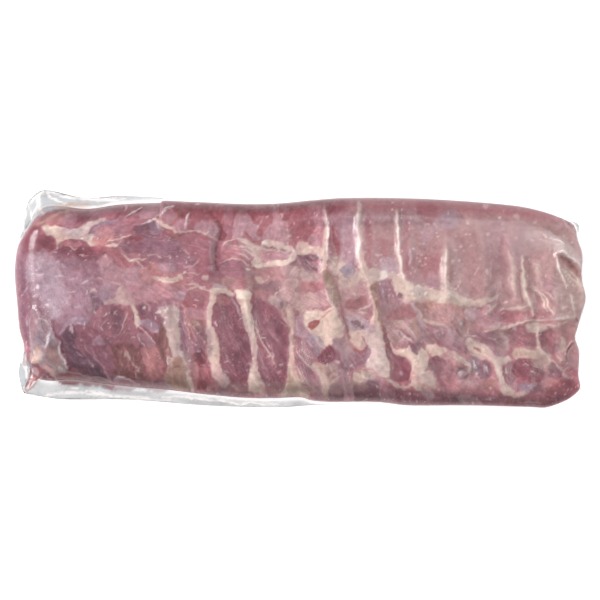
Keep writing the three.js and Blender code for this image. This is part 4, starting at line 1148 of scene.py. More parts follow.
def paint_tail_low(c):
    """The tail end in the photograph's lower right."""
    c.patch("rose", "466,312 500,310 560,318 580,340 582,380 560,400 500,402 456,398 440,360", 0.7, 6, 0,
        (-30, 0.5, "mauve"))
    c.patch("salmon", "450,304 458,305 463,312 462,326 452,325", 0.6, 3, 0.2, (-60, 0.5, "pink"))
    c.patch("rib", "450,290 462,296 478,299 496,295 494,299 482,305 468,306 450,304", 0.85, 3, 0.5)
    c.line("brown", 2.6, "463,306 463,318 463,328 465,335", 0.65, 1.8, -0.5)
    c.patch("lilac", "465,309 477,309 478,318 472,321 465,320", 0.65, 2.6, 0.3)
    c.patch("pink", "477,310 500,311 500,326 486,328 477,326", 0.8, 3, 0.2, (-25, 0.4, "veiled"))
    c.patch("rose", "500,312 520,310 538,312 544,318 520,321 502,324", 0.8, 2.4)
    c.line("rib", 2.6, "483,316 490,310 497,303 / 500,311 509,309 520,307 528,305 / 484,331 495,329"
        " 505,327 515,324 522,321 532,320", 0.85, 1.6, 0.5)
    c.line("rib", 2, "532,320 545,321 560,320 570,318 575,316 / 545,326 555,326 563,324 572,319 / 545,329"
        " 555,328 563,327", 0.7, 1.6, 0.4)
    c.patch("muscle", "502,328 520,325 540,333 541,344 524,345 506,340", 0.8, 2.4, 0.2, (-25, 0.45,
        "rose"))
    c.patch("rib", "526,325 535,322 543,325 547,330 538,333 528,332", 0.9, 2, 0.5)
    c.line("fat", 3.4, "537,330 538,345 539,350 543,354 548,358 550,362", 0.85, 1.8, 0.5)
    c.patch("deep muscle", "541,331 551,329 555,340 554,354 543,353", 0.75, 2.4, -0.3, (-50, 0.4, "rose"))
    c.spot("plum", (556, 348), 3.6, 0.9, 2.2, -0.7, 1.4, 70)
    c.patch("rib", "558,338 562,336 565,344 565,350 561,351", 0.85, 1.6, 0.4)
    c.patch("red", "555,322 576,322 581,340 576,344 566,340 558,334", 0.65, 3, 0.2, (-30, 0.5, "rose"))
    c.line("wine", 3, "577,342 570,346 567,354 566,362", 0.75, 1.8, -0.3)
    c.line("fat", 1.8, "576,340 569,344 566,352 565,360", 0.75, rise=0.4)
    c.line("rib", 2, "552,360 556,366 562,370 568,367 / 563,374 568,378 574,378 / 556,356 560,360"
        " 566,361", 0.85, 1.4, 0.4)
    c.patch("mauve", "569,356 577,356 578,366 574,372 569,368", 0.7)
    c.patch("plum", "549,364 560,366 562,376 554,380 548,376", 0.7, 3)
    c.patch("salmon", "545,380 554,378 561,384 557,390 547,389", 0.65, 3, 0.3)
    c.patch("wine", "556,384 574,378 576,392 560,404 536,404", 0.5, 5, 0, (-30, 0.5, "rose"))
    # The cells between the rib ends.
    c.patch("plum", "468,333 484,332 501,336 500,350 486,352 474,347 466,341", 0.8, 2.4, 0.3, (-30, 0.5,
        "mauve"))
    c.line("lilac", 3.6, "500,335 505,337 506,345 505,351", 0.75, 2, 0.3)
    c.patch("mauve", "488,345 496,345 502,350 499,357 493,353", 0.8, 2, -0.3)
    c.patch("mauve", "440,328 462,328 467,340 466,350 452,350 440,344", 0.7, 3, 0, (-40, 0.6, "lilac"))
    c.patch("rib", "465,342 470,336 476,341 484,344 490,350 493,355 500,357 507,355 510,360 504,366"
        " 498,364 490,361 480,359 474,357 469,350", 0.92, 2, 0.6, (30, 0.35, "pink"))
    c.line("rib", 5.5, "440,346 450,352 458,357 467,362 470,369 464,374", 0.85, 2.4, 0.5)
    c.patch("slate", "471,358 478,358 480,366 477,372 471,370", 0.85, 1.8, 0.3, (-50, 0.5, "plum"))
    c.patch("plum", "480,361 488,363 491,372 487,378 478,376", 0.85, 1.8, 0.3, (-50, 0.5, "slate"))
    c.patch("plum", "457,368 466,369 467,377 458,379", 0.75, rise=-0.2)
    c.line("mist", 2.6, "472,361 475,366 475,371 / 482,365 484,372 / 474,375 480,377", 0.55, 1.6)
    # Painted glints in white.
    c.spot("white", (477, 373), 1.8, 0.65, 1.5)
    c.spot("white", (460, 373), 2, 0.6)
    c.line("pink", 2.2, "455,380 465,381 478,384 / 460,386 470,387 480,388", 0.75, 1.6, 0.2)
    c.patch("brown", "484,380 492,379 496,386 490,391 484,389", 0.65, 2.6, -0.3)
    c.line("rib", 7.5, "491,360 497,368 500,378 502,386 508,392 516,395 524,392 530,388", 0.92, 2.2, 0.9,
        0.2, (-60, 0.4, "fat"))
    c.patch("muscle", "503,366 507,361 511,361 515,365 514,375 513,384 508,386 504,382 502,374", 0.9, 1.6,
        0.3)
    c.line("pink", 1.2, "507,366 506,375 508,384 / 510.5,364 510,374 510.5,383", 0.6, 1.1, 0.2)
    c.patch("rib", "512,352 516,348 523,346 530,349 538,349 542,355 536,360 528,358 520,358 514,359",
        0.88, 2, 0.5, (-60, 0.4, "tan"))
    c.patch("deep muscle", "514,361 520,358 530,358 538,361 543,368 543,376 538,381 530,382 522,380"
        " 516,374 513,368", 0.92, 1.8, 0.5, (-40, 0.45, "rose"))
    c.patch("slate", "519,384 534,383 534,389 521,391", 0.7)
    c.patch("plum", "446,394 490,395 530,399 566,394 560,409 446,409", 0.55, 4, 0, (-5, 0.6, "brown"))
    c.patch("grey", "459,395 472,397 482,402 478,408 462,406", 0.5, 3)
    # The first of these lines is a painted glint, in the haze's colour.
    c.line("haze", 2, "486,400 498,396 / 520,404 541,403", 0.6, 1.5)


WASHES = (
    ("plum", "6,234 24,238 25,300 27,350 8,352", 0.6, 5),
    ("dusk", "58,262 110,262 128,330 180,345 180,384 112,376 60,350 20,345 16,290 30,262", 0.2,
     14),
    ("veiled", "118,270 150,272 158,296 136,304 124,292", 0.45, 6),
    ("cream", "40,216 70,214 66,224 40,226", 0.25, 4),
    ("mist", "36,262 66,262 98,284 94,316 50,318", 0.25, 18),
    ("veiled", "104,264 122,264 146,284 144,302 120,304 104,294", 0.4, 7),
    ("dusk", "156,302 170,302 170,328 146,328 146,318", 0.3, 5),
    ("slate", "64,212 120,208 124,236 70,238", 0.22, 7),
    ("deep muscle", "24,228 40,226 42,250 24,252", 0.5, 5),
    ("rib", "558,284 586,284 584,330 562,330", 0.25, 6),
    ("rib", "494,328 508,328 508,352 496,352", 0.3, 4),
    ("rib", "534,354 548,354 548,368 534,368", 0.35, 4),
    ("wine", "206,200 300,198 300,214 212,215", 0.22, 5),
    ("wine", "180,200 260,198 340,196 340,212 260,214 186,214", 0.32, 5),
    ("dusk", "310,210 380,210 455,212 455,224 380,226 310,226", 0.22, 6),
    ("dusk", "184,226 222,226 212,262 186,262", 0.2, 6),
    ("mauve", "486,222 530,222 526,266 490,266", 0.28, 16),
    ("rib", "250,266 300,264 312,300 290,312 250,292", 0.34, 7),
    ("rib", "208,278 236,278 236,290 210,290", 0.3, 5),
    ("rib", "328,278 366,278 366,316 354,352 336,350 328,300", 0.32, 7),
    ("rib", "380,302 424,299 470,304 470,340 420,342 380,340", 0.3, 7),
    ("rib", "557,276 588,276 588,362 560,362 552,320", 0.34, 7),
    ("rib", "458,318 512,328 512,352 462,342", 0.24, 6),
    ("rib", "518,304 556,300 560,370 540,372 520,340", 0.17, 7),
    ("rib", "534,354 550,354 550,370 534,368", 0.4, 5),
    ("rib", "182,352 196,356 198,386 184,384", 0.35, 5),
    ("plum", "197,328 210,328 211,356 199,356", 0.4, 4),
    ("dusk", "235,318 250,318 253,368 239,368", 0.24, 5),
    ("dusk", "274,304 290,304 290,356 276,356", 0.18, 5),
    ("slate", "364,330 380,330 384,382 366,382", 0.25, 6),
    ("dusk", "324,354 344,354 346,384 328,384", 0.28, 5),
    ("rib", "222,383 352,380 354,392 222,394", 0.34, 4),
    ("rib", "440,354 512,354 512,372 480,394 416,394 420,382", 0.16, 7),
    ("dusk", "518,383 538,383 538,392 518,392", 0.25, 4),
)
PAINTERS = [
    paint_ground, paint_blade_top, paint_blade_low, paint_flap, paint_middle_top,
    paint_middle_low,
    paint_loin_side, paint_ridge_low, paint_tail_top, paint_tail_low,
]


def paint_washes(c):
    """Broad thin washes over the finished paint, and the fine lines over them."""
    for tint, edge, strength, blur in WASHES:
        c.patch(tint, edge, strength, blur)
    c.line("mist", 1.6, "446,318 452,324 457,331 / 452,314 459,322 464,329 / 443,326 450,333 454,340 /"
        " 459,312 466,320 / 428,318 436,325 442,332 / 421,322 430,330 438,340 / 398,322 408,328 416,338 /"
        " 392,330 402,334 412,344 / 404,318 413,324", 0.7, 1.1, 0.2)
    c.line("wine", 2, "449,320 456,329 462,337 / 424,326 433,334 / 396,328 406,334 413,342 / 474,346"
        " 480,352 / 503,362 502,374 504,384 / 514,364 513,372 518,378", 0.5)
    c.line("cream", 1.3, "470,343 480,348 490,354 / 474,350 484,355 494,360 / 494,364 500,374 503,385 /"
        " 516,352 526,350 536,353 / 519,356 530,355", 0.7, 1, 0.2)
    c.line("fat", 3, "522,260 523,275 524.5,288 527,298 529,305 532,315", 0.75, 2, 0.3)
    c.line("rib", 4, "508,248 511,262 513,276 514,290", 0.4, 3, 0.2)
    # White lines along the film's folds at the tail, partly milky film and partly painted highlight.
    c.line("white", 1.7, "554,257 555,254 558,253 563,253 568,256 573,260 578,265 580,269 / 555,256"
        " 557,262 560,270 562,278 566,286 / 552,240 558,241 563,245", 0.8, 1.2, 0.3)
    c.line("fat", 1.6, "562,270 567,275 572,279 578,285 584,292 / 563,273 568,280 574,287 / 566,268"
        " 575,277 583,288 / 572,292 573,305 575,316 / 533,288 540,293 545,300 550,310 552,316 / 538,293"
        " 543,303 548,312", 0.75, 1.2, 0.2)
    c.line("brown", 2.4, "560,257 568,263 576,272 582,279 / 566,262 573,268", 0.5, 1.8, -0.3)
    c.line("wine", 2.2, "576,343 570,347 567,354 566,362 / 575,318 578,322", 0.6, 1.6)
    c.line("rib", 2.2, "485,331 495,329 505,327 515,324 522,321 532,320 545,321 560,320 570,318 / 545,326"
        " 555,326 563,324 572,319 / 537,331 538,345 540,351 546,356 551,361 / 552,360 556,366 562,370"
        " 568,367 / 563,374 568,378 574,378", 0.8, 1.4, 0.3)
    c.line("white", 1.1, "505,367 505,377 / 474,362 477,368 / 484,366 486,372 / 521,363 528,366 / 530,372"
        " 536,374 / 488,338 496,340 / 471,335 478,337", 0.6, 1)


def paint_grain(c):
    """The fine veins, flecks and shades that run through everything."""
    lean = np.radians(np.where(c.y > FIBRE_BREAK, *FIBRE_LEANS))
    along = c.x * np.cos(lean) + c.y * np.sin(lean)
    over = -c.x * np.sin(lean) + c.y * np.cos(lean)
    every = np.arange(c.x.size)
    lively = (1 - 0.6 * c.fat) * (1 - 0.72 * c.calm)
    for size, seed, strength, tint in ((11, 71, 0.22, "pink"), (6, 73, 0.22, "cream")):
        field = clouds(along / 2.2, over, size / 2, seed, 2)
        vein = np.clip(1 - np.abs(field) * 9, 0, 1) ** 1.5
        patchy = smooth_step(clouds(c.x, c.y, 24, seed + 1), -0.1, 0.35)
        c.lay(every, vein * strength * patchy * lively, tint, 0.25, vein * patchy, None)
    streak = clouds(along / 4, over, 2.2, 75, 2)
    c.lay(every, 0.18 * smooth_step(streak, 0.15, 0.6) * lively, "pink", 0, 0, None)
    c.lay(every, 0.16 * smooth_step(-streak, 0.15, 0.6) * lively, "deep muscle", 0, 0, None)
    fleck = cloud(c.x, c.y, 2.3, 77)
    sparse = smooth_step(clouds(c.x, c.y, 17, 79), 0, 0.3)
    c.lay(every, 0.5 * smooth_step(fleck, 0.62, 0.85) * sparse, "white", 0.1, fleck > 2, None)
    shade = 0.07 * clouds(c.x, c.y, 10, 81) + 0.06 * cloud(c.x, c.y, 3, 83)
    shade = 1 + shade * (1 - 0.6 * c.calm)
    c.tone = np.clip(c.tone * shade[:, None], 0, 1)


def paint_rack(c):
    """All the paint of the rack's bone side."""
    for painter in PAINTERS:
        painter(c)
    paint_washes(c)
    paint_grain(c)


def inner_depths(from_blade, from_belly, fins):
    """Distances in from the inner edges of the fins, to the blade, tail, belly and loin."""
    blade, tail, belly, loin = fins
    return (
        from_blade - blade,
        LENGTH - from_blade - tail,
        from_belly - belly,
        WIDTH - from_belly - loin,
    )


def inside_depth(depths):
    """The depth inside the meat's outline, with its rounded corners."""
    blade, tail, belly, loin = depths
    return np.minimum.reduce([
        corner_depth(blade, loin, BLADE_LOIN_CORNER),
        corner_depth(tail, loin, TAIL_LOIN_CORNER),
        corner_depth(blade, belly, BLADE_BELLY_CORNER),
        corner_depth(tail, belly, TAIL_BELLY_CORNER),
    ])


def seam_height(x, y, inside):
    """The height of the line where the two plies of film meet."""
    stands_out = np.maximum(-inside, 0)
    wave = np.sin(2 * math.pi * (x + y) / FIN_WAVE_PITCH)
    share = np.clip(stands_out / FIN_WAVE_RUN, 0, 1)
    return SEAM_HEIGHT - FIN_DROOP * stands_out + FIN_WAVE * wave * share


def side_rounding(depths):
    """The rounding of the top edge, gentler at the two ends."""
    near_end = np.minimum(depths[0], depths[1])
    return mix(END_ROUNDING, TOP_ROUNDING, smooth_step(near_end, 0, 2 * END_ROUNDING))


def two_sheets(columns, rows, under_columns, under_rows):
    """A mesh of an upper grid at z = 1 and an under grid at z = 0 whose borders match it."""
    bm = bmesh.new()
    bmesh.ops.create_grid(bm, x_segments=under_columns, y_segments=under_rows, size=0.5)
    if columns != under_columns:
        border = [edge for edge in bm.edges if edge.is_boundary]
        bmesh.ops.subdivide_edges(bm, edges=border, cuts=1)
    bmesh.ops.reverse_faces(bm, faces=bm.faces[:])
    bmesh.ops.create_grid(bm, x_segments=columns, y_segments=rows, size=0.5,
                          matrix=Matrix.Translation((0, 0, 1)))
    return bm


def read_places(bm):
    """The places of a mesh's vertices as an array."""
    return np.array([vert.co[:] for vert in bm.verts])


def write_places(bm, places):
    """Moves a mesh's vertices to the places, in millimetres."""
    for vert, place in zip(bm.verts, places * MM):
        vert.co = place


def store_fibres(bm, canvas):
    """Adds the fibres' places and strength to the vertices, as a colour layer."""
    share = np.clip(canvas.fibre_share, 0, 1) * (1 - 0.5 * canvas.fat)
    places = np.column_stack([canvas.fibre_along, canvas.fibre_over, share])
    store_colour(bm, "fibre", places, np.ones(share.size))


def finish_mesh(bm, name):
    """Turns a bmesh into an object at the origin, smooth shaded."""
    mesh = bpy.data.meshes.new(name)
    for face in bm.faces:
        face.smooth = True
    bm.to_mesh(mesh)
    bm.free()
    piece = bpy.data.objects.new(name, mesh)
    bpy.context.scene.collection.objects.link(piece)
    return piece


def store_colour(bm, name, rgb, alpha):
    """Adds a colour layer to the vertices before the sheets are merged."""
    layer = bm.verts.layers.float_color.new(name)
    for vert, value in zip(bm.verts, np.column_stack([rgb, alpha]).tolist()):
        vert[layer] = value


def rack_share(share, steps, span):
    """The share of the rack's own width or length at a grid line: close together up its sides."""
    place = share * steps
    turn = math.pi / 2 / SIDE_STEPS
    middle_step = (span - 2 * SIDE_RUN) / (steps - 2 * SIDE_STEPS)
    rise_in = SIDE_RUN * (1 - np.cos(np.clip(place, 0, SIDE_STEPS) * turn))
    rise_out = SIDE_RUN * (1 - np.cos(np.clip(steps - place, 0, SIDE_STEPS) * turn))
    even = SIDE_RUN + (np.clip(place, SIDE_STEPS, steps - SIDE_STEPS) - SIDE_STEPS) * middle_step
    along = np.where(place < SIDE_STEPS, rise_in,
                     np.where(place > steps - SIDE_STEPS, span - rise_out, even))
    return along / span


def source_run(steps):
    """Where the grid lines of the part's source lie between its fins, from 0 to 1."""
    inner = steps - 2 * SOURCE_FIN_STEPS
    order = np.arange(inner)
    from_edge = np.minimum(order, inner - 1 - order) / SOURCE_EDGE_STEPS
    sizes = mix(SOURCE_EDGE_SHARE, 1, smooth_step(from_edge, 0, 1))
    run = np.concatenate([[0], np.cumsum(sizes)])
    return run / run[-1]


def source_share(inner_share, steps):
    """The share of the source's grid lines at a share of the way between the fins."""
    run = source_run(steps)
    return (SOURCE_FIN_STEPS + np.interp(inner_share, run, np.arange(run.size))) / steps


def source_place(share, steps, span, first, last):
    """The distance across the pack at a share of the source's grid lines."""
    run = source_run(steps)
    place = share * steps
    inner = np.interp(place - SOURCE_FIN_STEPS, np.arange(run.size), run)
    return np.where(
        place < SOURCE_FIN_STEPS,
        first * place / SOURCE_FIN_STEPS,
        np.where(
            place > steps - SOURCE_FIN_STEPS,
            span - last * (steps - place) / SOURCE_FIN_STEPS,
            first + (span - first - last) * inner,
        ),
    )


def squeeze_corner(a, b, radius):
    """Draws a square corner of the grid in to a round one."""
    p, q = np.clip(1 - a / radius, 0, 1), np.clip(1 - b / radius, 0, 1)
    new_a = np.where(a < radius, radius * (1 - p * np.sqrt(1 - q * q / 2)), a)
    new_b = np.where(b < radius, radius * (1 - q * np.sqrt(1 - p * p / 2)), b)
    return new_a, new_b


def rack_fins(along, across):
    """The widths of the fins and the film's gap at shares of the rack's own length and width."""
    gap = look().film_gap
    shares = source_share(along, SOURCE_COLUMNS), source_share(across, SOURCE_ROWS)
    return [fin + gap for fin in fin_widths(*shares)]


def rack_places(s, t):
    """The rack's vertices: X, Y, the share of the length, depths from the edges, depth inside."""
    along = rack_share(s, RACK_COLUMNS, LENGTH)
    across = rack_share(t, RACK_ROWS, WIDTH)
    fins = rack_fins(along, across)
    length = LENGTH - fins[0] - fins[1]
    width = WIDTH - fins[2] - fins[3]
    depths = [along * length, (1 - along) * length, across * width, (1 - across) * width]
    for end, side, radius in (
        (0, 3, BLADE_LOIN_CORNER),
        (1, 3, TAIL_LOIN_CORNER),
        (0, 2, BLADE_BELLY_CORNER),
        (1, 2, TAIL_BELLY_CORNER),
    ):
        near = (depths[end] < radius) & (depths[side] < radius)
        new_end, new_side = squeeze_corner(depths[end], depths[side], radius)
        moves = ((end, new_end), (side, new_side))
        shifts = [(k, np.where(near, new - depths[k], 0)) for k, new in moves]
        for k, shift in shifts:
            depths[k] = depths[k] + shift
            depths[k ^ 1] = depths[k ^ 1] - shift
    fins = rack_fins(depths[0] / length, depths[2] / width)
    u, v = (depths[0] + fins[0]) / LENGTH, (depths[2] + fins[2]) / WIDTH
    plan = plan_point(u, v) + PLAN_SHIFT
    return plan[:, 0], plan[:, 1], u, depths, np.maximum(inside_depth(depths), 0)


class RIBS_OT_rack(bpy.types.Operator):
    """Adds the rack of ribs: meat, fat, rib ends and membrane in one piece"""

    bl_idname = "ribs.rack"
    bl_label = "Rack of ribs"

    def execute(self, context):
        gap = look().film_gap
        bm = two_sheets(RACK_COLUMNS, RACK_ROWS, RACK_COLUMNS // 2, RACK_ROWS // 2)
        start = read_places(bm)
        s, t, upper = start[:, 0] + 0.5, start[:, 1] + 0.5, start[:, 2] > 0.5
        x, y, u, depths, inside = rack_places(s, t)
        canvas = Canvas(x, y, "muscle")
        paint_rack(canvas)
        side = rounded(inside, side_rounding(depths))
        seam = seam_height(x, y, inside)
        full = crown(x, y, u) - gap - MEAT_SLACK + canvas.rise
        full += MEAT_GRAIN * clouds(x, y, 5, 41)
        top = mix(seam, full, side)
        under = mix(seam, gap, rounded(inside, UNDER_ROUNDING))
        places = np.column_stack([x, y, np.where(upper, top, under)])
        low = np.where(upper, 0, smooth_step(inside, 4, 18))
        belly_side = Canvas(x, y, "rose")
        belly_side.mottle("cream", 22, 0.4, 0.8, 51)
        belly_side.mottle("pink", 9, 0.4, 0.5, 52)
        # On the walls the paint follows the height, not the plan.
        walls = Canvas(x, 2 * places[:, 2] + 0.3 * y, "rose")
        walls.mottle("muscle", 16, 0.4, 0.7, 53)
        walls.mottle("cream", 11, 0.25, 0.6, 54)
        wall_share = np.where(upper, smooth_step(1 - side, 0.45, 0.9), 1)
        tone = mix(canvas.tone, walls.tone, 0.8 * wall_share[:, None])
        tone = mix(tone, belly_side.tone, low[:, None])
        fat = mix(mix(canvas.fat, walls.fat, 0.8 * wall_share), belly_side.fat, low)
        # Painted light near the edges, against the shade on the rack's rounded sides.
        near_edge = 1 - smooth_step(inside, 0, WALL_REACH)
        light = as_light(tone) * (TONE_GAIN + WALL_PAINTED_LIGHT * near_edge)[:, None] - GLARE
        store_colour(bm, "tone", np.clip(light, DARKEST, 1), fat)
        store_fibres(bm, canvas)
        write_places(bm, places)
        bmesh.ops.remove_doubles(bm, verts=bm.verts[:], dist=1e-6)
        rack = finish_mesh(bm, "rack_of_ribs")
        rack.data.materials.append(meat_finish())
        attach(rack, "root")
        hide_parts("sealed_pack")
        return {"FINISHED"}


def smoothed(grid, rounds):
    """A grid of heights, each averaged with its neighbours."""
    for _ in range(rounds):
        padded = np.pad(grid, 1, mode="edge")
        around = padded[:-2, 1:-1] + padded[2:, 1:-1] + padded[1:-1, :-2] + padded[1:-1, 2:]
        grid = grid * 0.4 + around * 0.15
    return grid


def highest_near(grid):
    """A grid of heights, each raised to its highest neighbour."""
    padded = np.pad(grid, 1, mode="edge")
    rows, columns = grid.shape
    shifts = [padded[i:i + rows, j:j + columns] for i in range(3) for j in range(3)]
    return np.maximum.reduce(shifts)


class RIBS_OT_film(bpy.types.Operator):
    """Adds the clear film: a closed envelope that hugs the rack, with fins where it meets itself"""

    bl_idname = "ribs.film"
    bl_label = "Film"

    def execute(self, context):
        bm = two_sheets(FILM_COLUMNS, FILM_ROWS, FILM_COLUMNS // 2, FILM_ROWS // 2)
        start = read_places(bm)
        s, t, upper = start[:, 0] + 0.5, start[:, 1] + 0.5, start[:, 2] > 0.5
        fins = fin_widths(s, t)
        from_blade = source_place(s, SOURCE_COLUMNS, LENGTH, fins[0], fins[1])
        from_belly = source_place(t, SOURCE_ROWS, WIDTH, fins[2], fins[3])
        depths = inner_depths(from_blade, from_belly, fins)
        inside = inside_depth(depths)
        u, v = from_blade / LENGTH, from_belly / WIDTH
        plan = plan_point(u, v) + PLAN_SHIFT
        x, y = plan.T
        canvas = Canvas(x, y, "muscle")
        paint_rack(canvas)
        order = np.lexsort((s[upper], t[upper]))
        rise = canvas.rise[upper][order].reshape(FILM_ROWS + 1, FILM_COLUMNS + 1)
        lifted = smoothed(highest_near(rise), 3)
        rises = np.zeros(x.size)
        rises[np.flatnonzero(upper)[order]] = lifted.ravel()
        creases = Canvas(x, y, "film grey")
        crease_film(creases)
        seam = seam_height(x, y, inside)
        rim = np.maximum(np.abs(s - 0.5), np.abs(t - 0.5)) > 0.5 - 1e-5
        half = np.where(rim, 0, FIN_THICKNESS / 2)
        side = rounded(inside, side_rounding(depths))
        full = crown(x, y, u) + rises + creases.rise
        stands_out = smooth_step(-inside, 0.5, 4)
        wrinkle = FIN_WRINKLE * clouds(x, y, 9, 61) * stands_out * ~rim
        top = mix(seam + half + wrinkle, full, side)
        top = np.minimum(top, FILM_HIGHEST)
        under = (seam - half + wrinkle) * (1 - rounded(inside, UNDER_ROUNDING))
        milky = look().fin_milkiness * stands_out * (1 + 0.5 * clouds(x, y, 12, 62))
        milky = np.clip(milky + creases.veil, 0, 1)
        store_colour(bm, "tone", as_light(creases.tone), milky)
        write_places(bm, np.column_stack([x, y, np.where(upper, top, np.maximum(under, 0))]))
        bmesh.ops.remove_doubles(bm, verts=bm.verts[:], dist=1e-6)
        film = finish_mesh(bm, "film_bag")
        film.data.materials.append(film_finish())
        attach(film, "root")
        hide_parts("sealed_pack")
        return {"FINISHED"}


def crease_film(c):
    """Creases and folds of the film alone, their white partly milky film and partly painted highlight,
    and its milky places.
    """
    # White plies beyond the meat at the blade end's loin corner and along the fin's taper.
    c.mist("fin white", "14,240 18,216 28,200 60,194 104,199 104,203.5 80,206 57,210.5 45,214 36,218.5"
        " 28,223 22,236", 0.6)
    c.mist("tan", "58,204 88,204 90,207 66,210", 0.14)
    # Meat that the two plies draw out along the belly edge.
    c.mist("juice", "58,373 78,373 95,377 112,380 113,388 95,386.5 80,383.5 60,383", 0.55)
    c.mist("muscle", "110,379 135,381 168,384 168,391 135,389.5 112,388.5", 0.35)
    c.mist("fin white", "17,352 24,352 30,362 27,376 20,388 14,376", 0.75, 3)
    c.mist("blood", "31,366 40,365 45,370 42,378 35,383 28,390 25,391 27,384 31,374", blur=2)
    c.mist("pink", "33,368 38,367 40,372 35,378 27,388 26,386", 0.6, 1.6)
    # The white along these creases is partly milky film and partly painted highlight.
    for width, veil, blur, strokes in (
        (3.4, 0.14, 3, "27,203 35,197 46,191 58,194 / 60,196 90,199 125,200 / 40,193 38,205 44,214 /"
            " 26,210 22,222 24,232 / 40,398 70,392 110,396 150,398 / 80,400 120,401 170,399 / 160,396"
            " 200,399 240,403 280,404"),
        (1.8, 0.3, 1.4, "24,389 29,381 33,372 32,364 / 25,391 33,382 42,377 / 27,204 31,214 33,226 /"
            " 30,226 33,213 38,202 42,192 / 46,191 54,199 66,204 / 51,333 49,340 47.6,347 / 61,341 61,354"
            " 66,362 69,368 / 23,345 21,358 24,370 / 30,392 40,400 60,402 / 28,352 25,366 27,380"),
        (1.8, 0.14, 1.6, "32,364 31.5,345 31,326 33,309 / 33,309 39,314 50,321 53,330 / 46,378 58,384"
            " 76,388 96,392"),
        (1.5, 0.3, 1.2, "156,219 150,222 140,226 / 156,219 160,226 165,230 / 158,217 163,212 168,208"
            " 174,206 / 190,214 187,221 185,230 / 143,206 136,212 126,218"),
        (1.7, 0.16, 1.5, "561,217 565,224 570,230 577,236 / 566,214 572,222 579,228 / 555,254 557,252.5"
            " 562,252 568,254 574,259 578,265 581,271 / 555,254 557,263 559,271 566,289 / 561,268 572,279"
            " 584,292 / 572,297 573,310 574,319 / 577,344 569,352 566,366 / 540,318 556,319 574,317"),
    ):
        c.fold(width, strokes, 0.45, veil, blur)
    # Sheen on the film's shoulder at the tail end.
    c.mist("white", "550,240 560,237 574,248 582,262 572,260 556,250", 0.14, 9, 0.3)
    c.mist("white", "524,234 536,230 551,232 553,242 542,250 530,248", 0.1, 10, 0.2)
    # Ridges that the film draws over the ribs, to the loin side, with a faint painted highlight along
    # each.
    c.fold(4.5, "325,208 325,215 327,226 328,240 / 359,204 358,215 356,230 358,245 360,260 / 396,212"
        " 396,225 396,240 398,252 / 444,252 445,265 445,280", 0.35, 0.04, blur=3.4)


JUICE_OUTLINE = "31,366 38,364 44,368 44,374 39,379 34,384 28,390 24,392 25,385 29,376"
JUICE_THICKNESS = 0.3
JUICE_SEGMENTS, JUICE_RINGS = 48, 12
JUICE_NEIGHBOURS = 12  # points of the film whose mean height the juice takes


class RIBS_OT_juice(bpy.types.Operator):
    """Adds the little meat juice that lies between the film's plies in the lower corner"""

    bl_idname = "ribs.juice"
    bl_label = "Meat juice"

    def execute(self, context):
        rim = Curve(paths(JUICE_OUTLINE)[0], closed=True, steps=5).path
        rim = (rim - PHOTO_MIDDLE) * (PIXEL, -PIXEL)
        middle = rim.mean(0)
        turns = np.arctan2(*(rim - middle).T[::-1])
        reaches = np.hypot(*(rim - middle).T)
        film = bpy.data.objects["film_bag"].data
        plies = np.array([vert.co for vert in film.vertices]) / MM
        bm = bmesh.new()
        bmesh.ops.create_uvsphere(bm, u_segments=JUICE_SEGMENTS, v_segments=JUICE_RINGS,
                                  radius=1)
        for vert in bm.verts:
            turn = np.arctan2(vert.co.y, vert.co.x)
            reach = np.interp(turn, turns, reaches, period=2 * np.pi)
            x, y = middle + reach * np.array(vert.co[:2])
            near = np.argsort(np.hypot(*(plies[:, :2] - (x, y)).T))[:JUICE_NEIGHBOURS]
            z = plies[near, 2].mean() + JUICE_THICKNESS / 2 * vert.co.z
            vert.co = (x * MM, y * MM, z * MM)
        juice = finish_mesh(bm, "meat_juice")
        juice.data.materials.append(juice_finish())
        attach(juice, "root")
        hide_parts("sealed_pack")
        return {"FINISHED"}


def juice_finish():
    """Dark red, wet and smooth."""
    f = Finish("meat_juice")
    return f.surface(f.node("ShaderNodeBsdfPrincipled", None, {
        "Base Color": (*as_light(paint("blood")), 1), "Roughness": 0.12}))


OBJECT_OUTPUT = 3  # of the texture coordinates
WHITE = (1, 1, 1, 1)
SINEW = (0.72, 0.5, 0.48, 1)
FLECK = (0.75, 0.62, 0.58, 1)
FILM_IOR = 1.48


class Wire:
    """A node's output that takes part in sums, and builds the Math nodes for them."""

    def __init__(self, finish, socket):
        self.finish = finish
        self.socket = socket

    def sum_with(self, operation, first, second):
        """A Math node on two numbers or outputs."""
        return self.finish.node("ShaderNodeMath", {"operation": operation}, {0: first, 1: second})

    def __add__(self, other):
        return self.sum_with("ADD", self, other)

    def __sub__(self, other):
        return self.sum_with("SUBTRACT", self, other)

    def __rsub__(self, other):
        return self.sum_with("SUBTRACT", other, self)

    def __mul__(self, other):
        return self.sum_with("MULTIPLY", self, other)


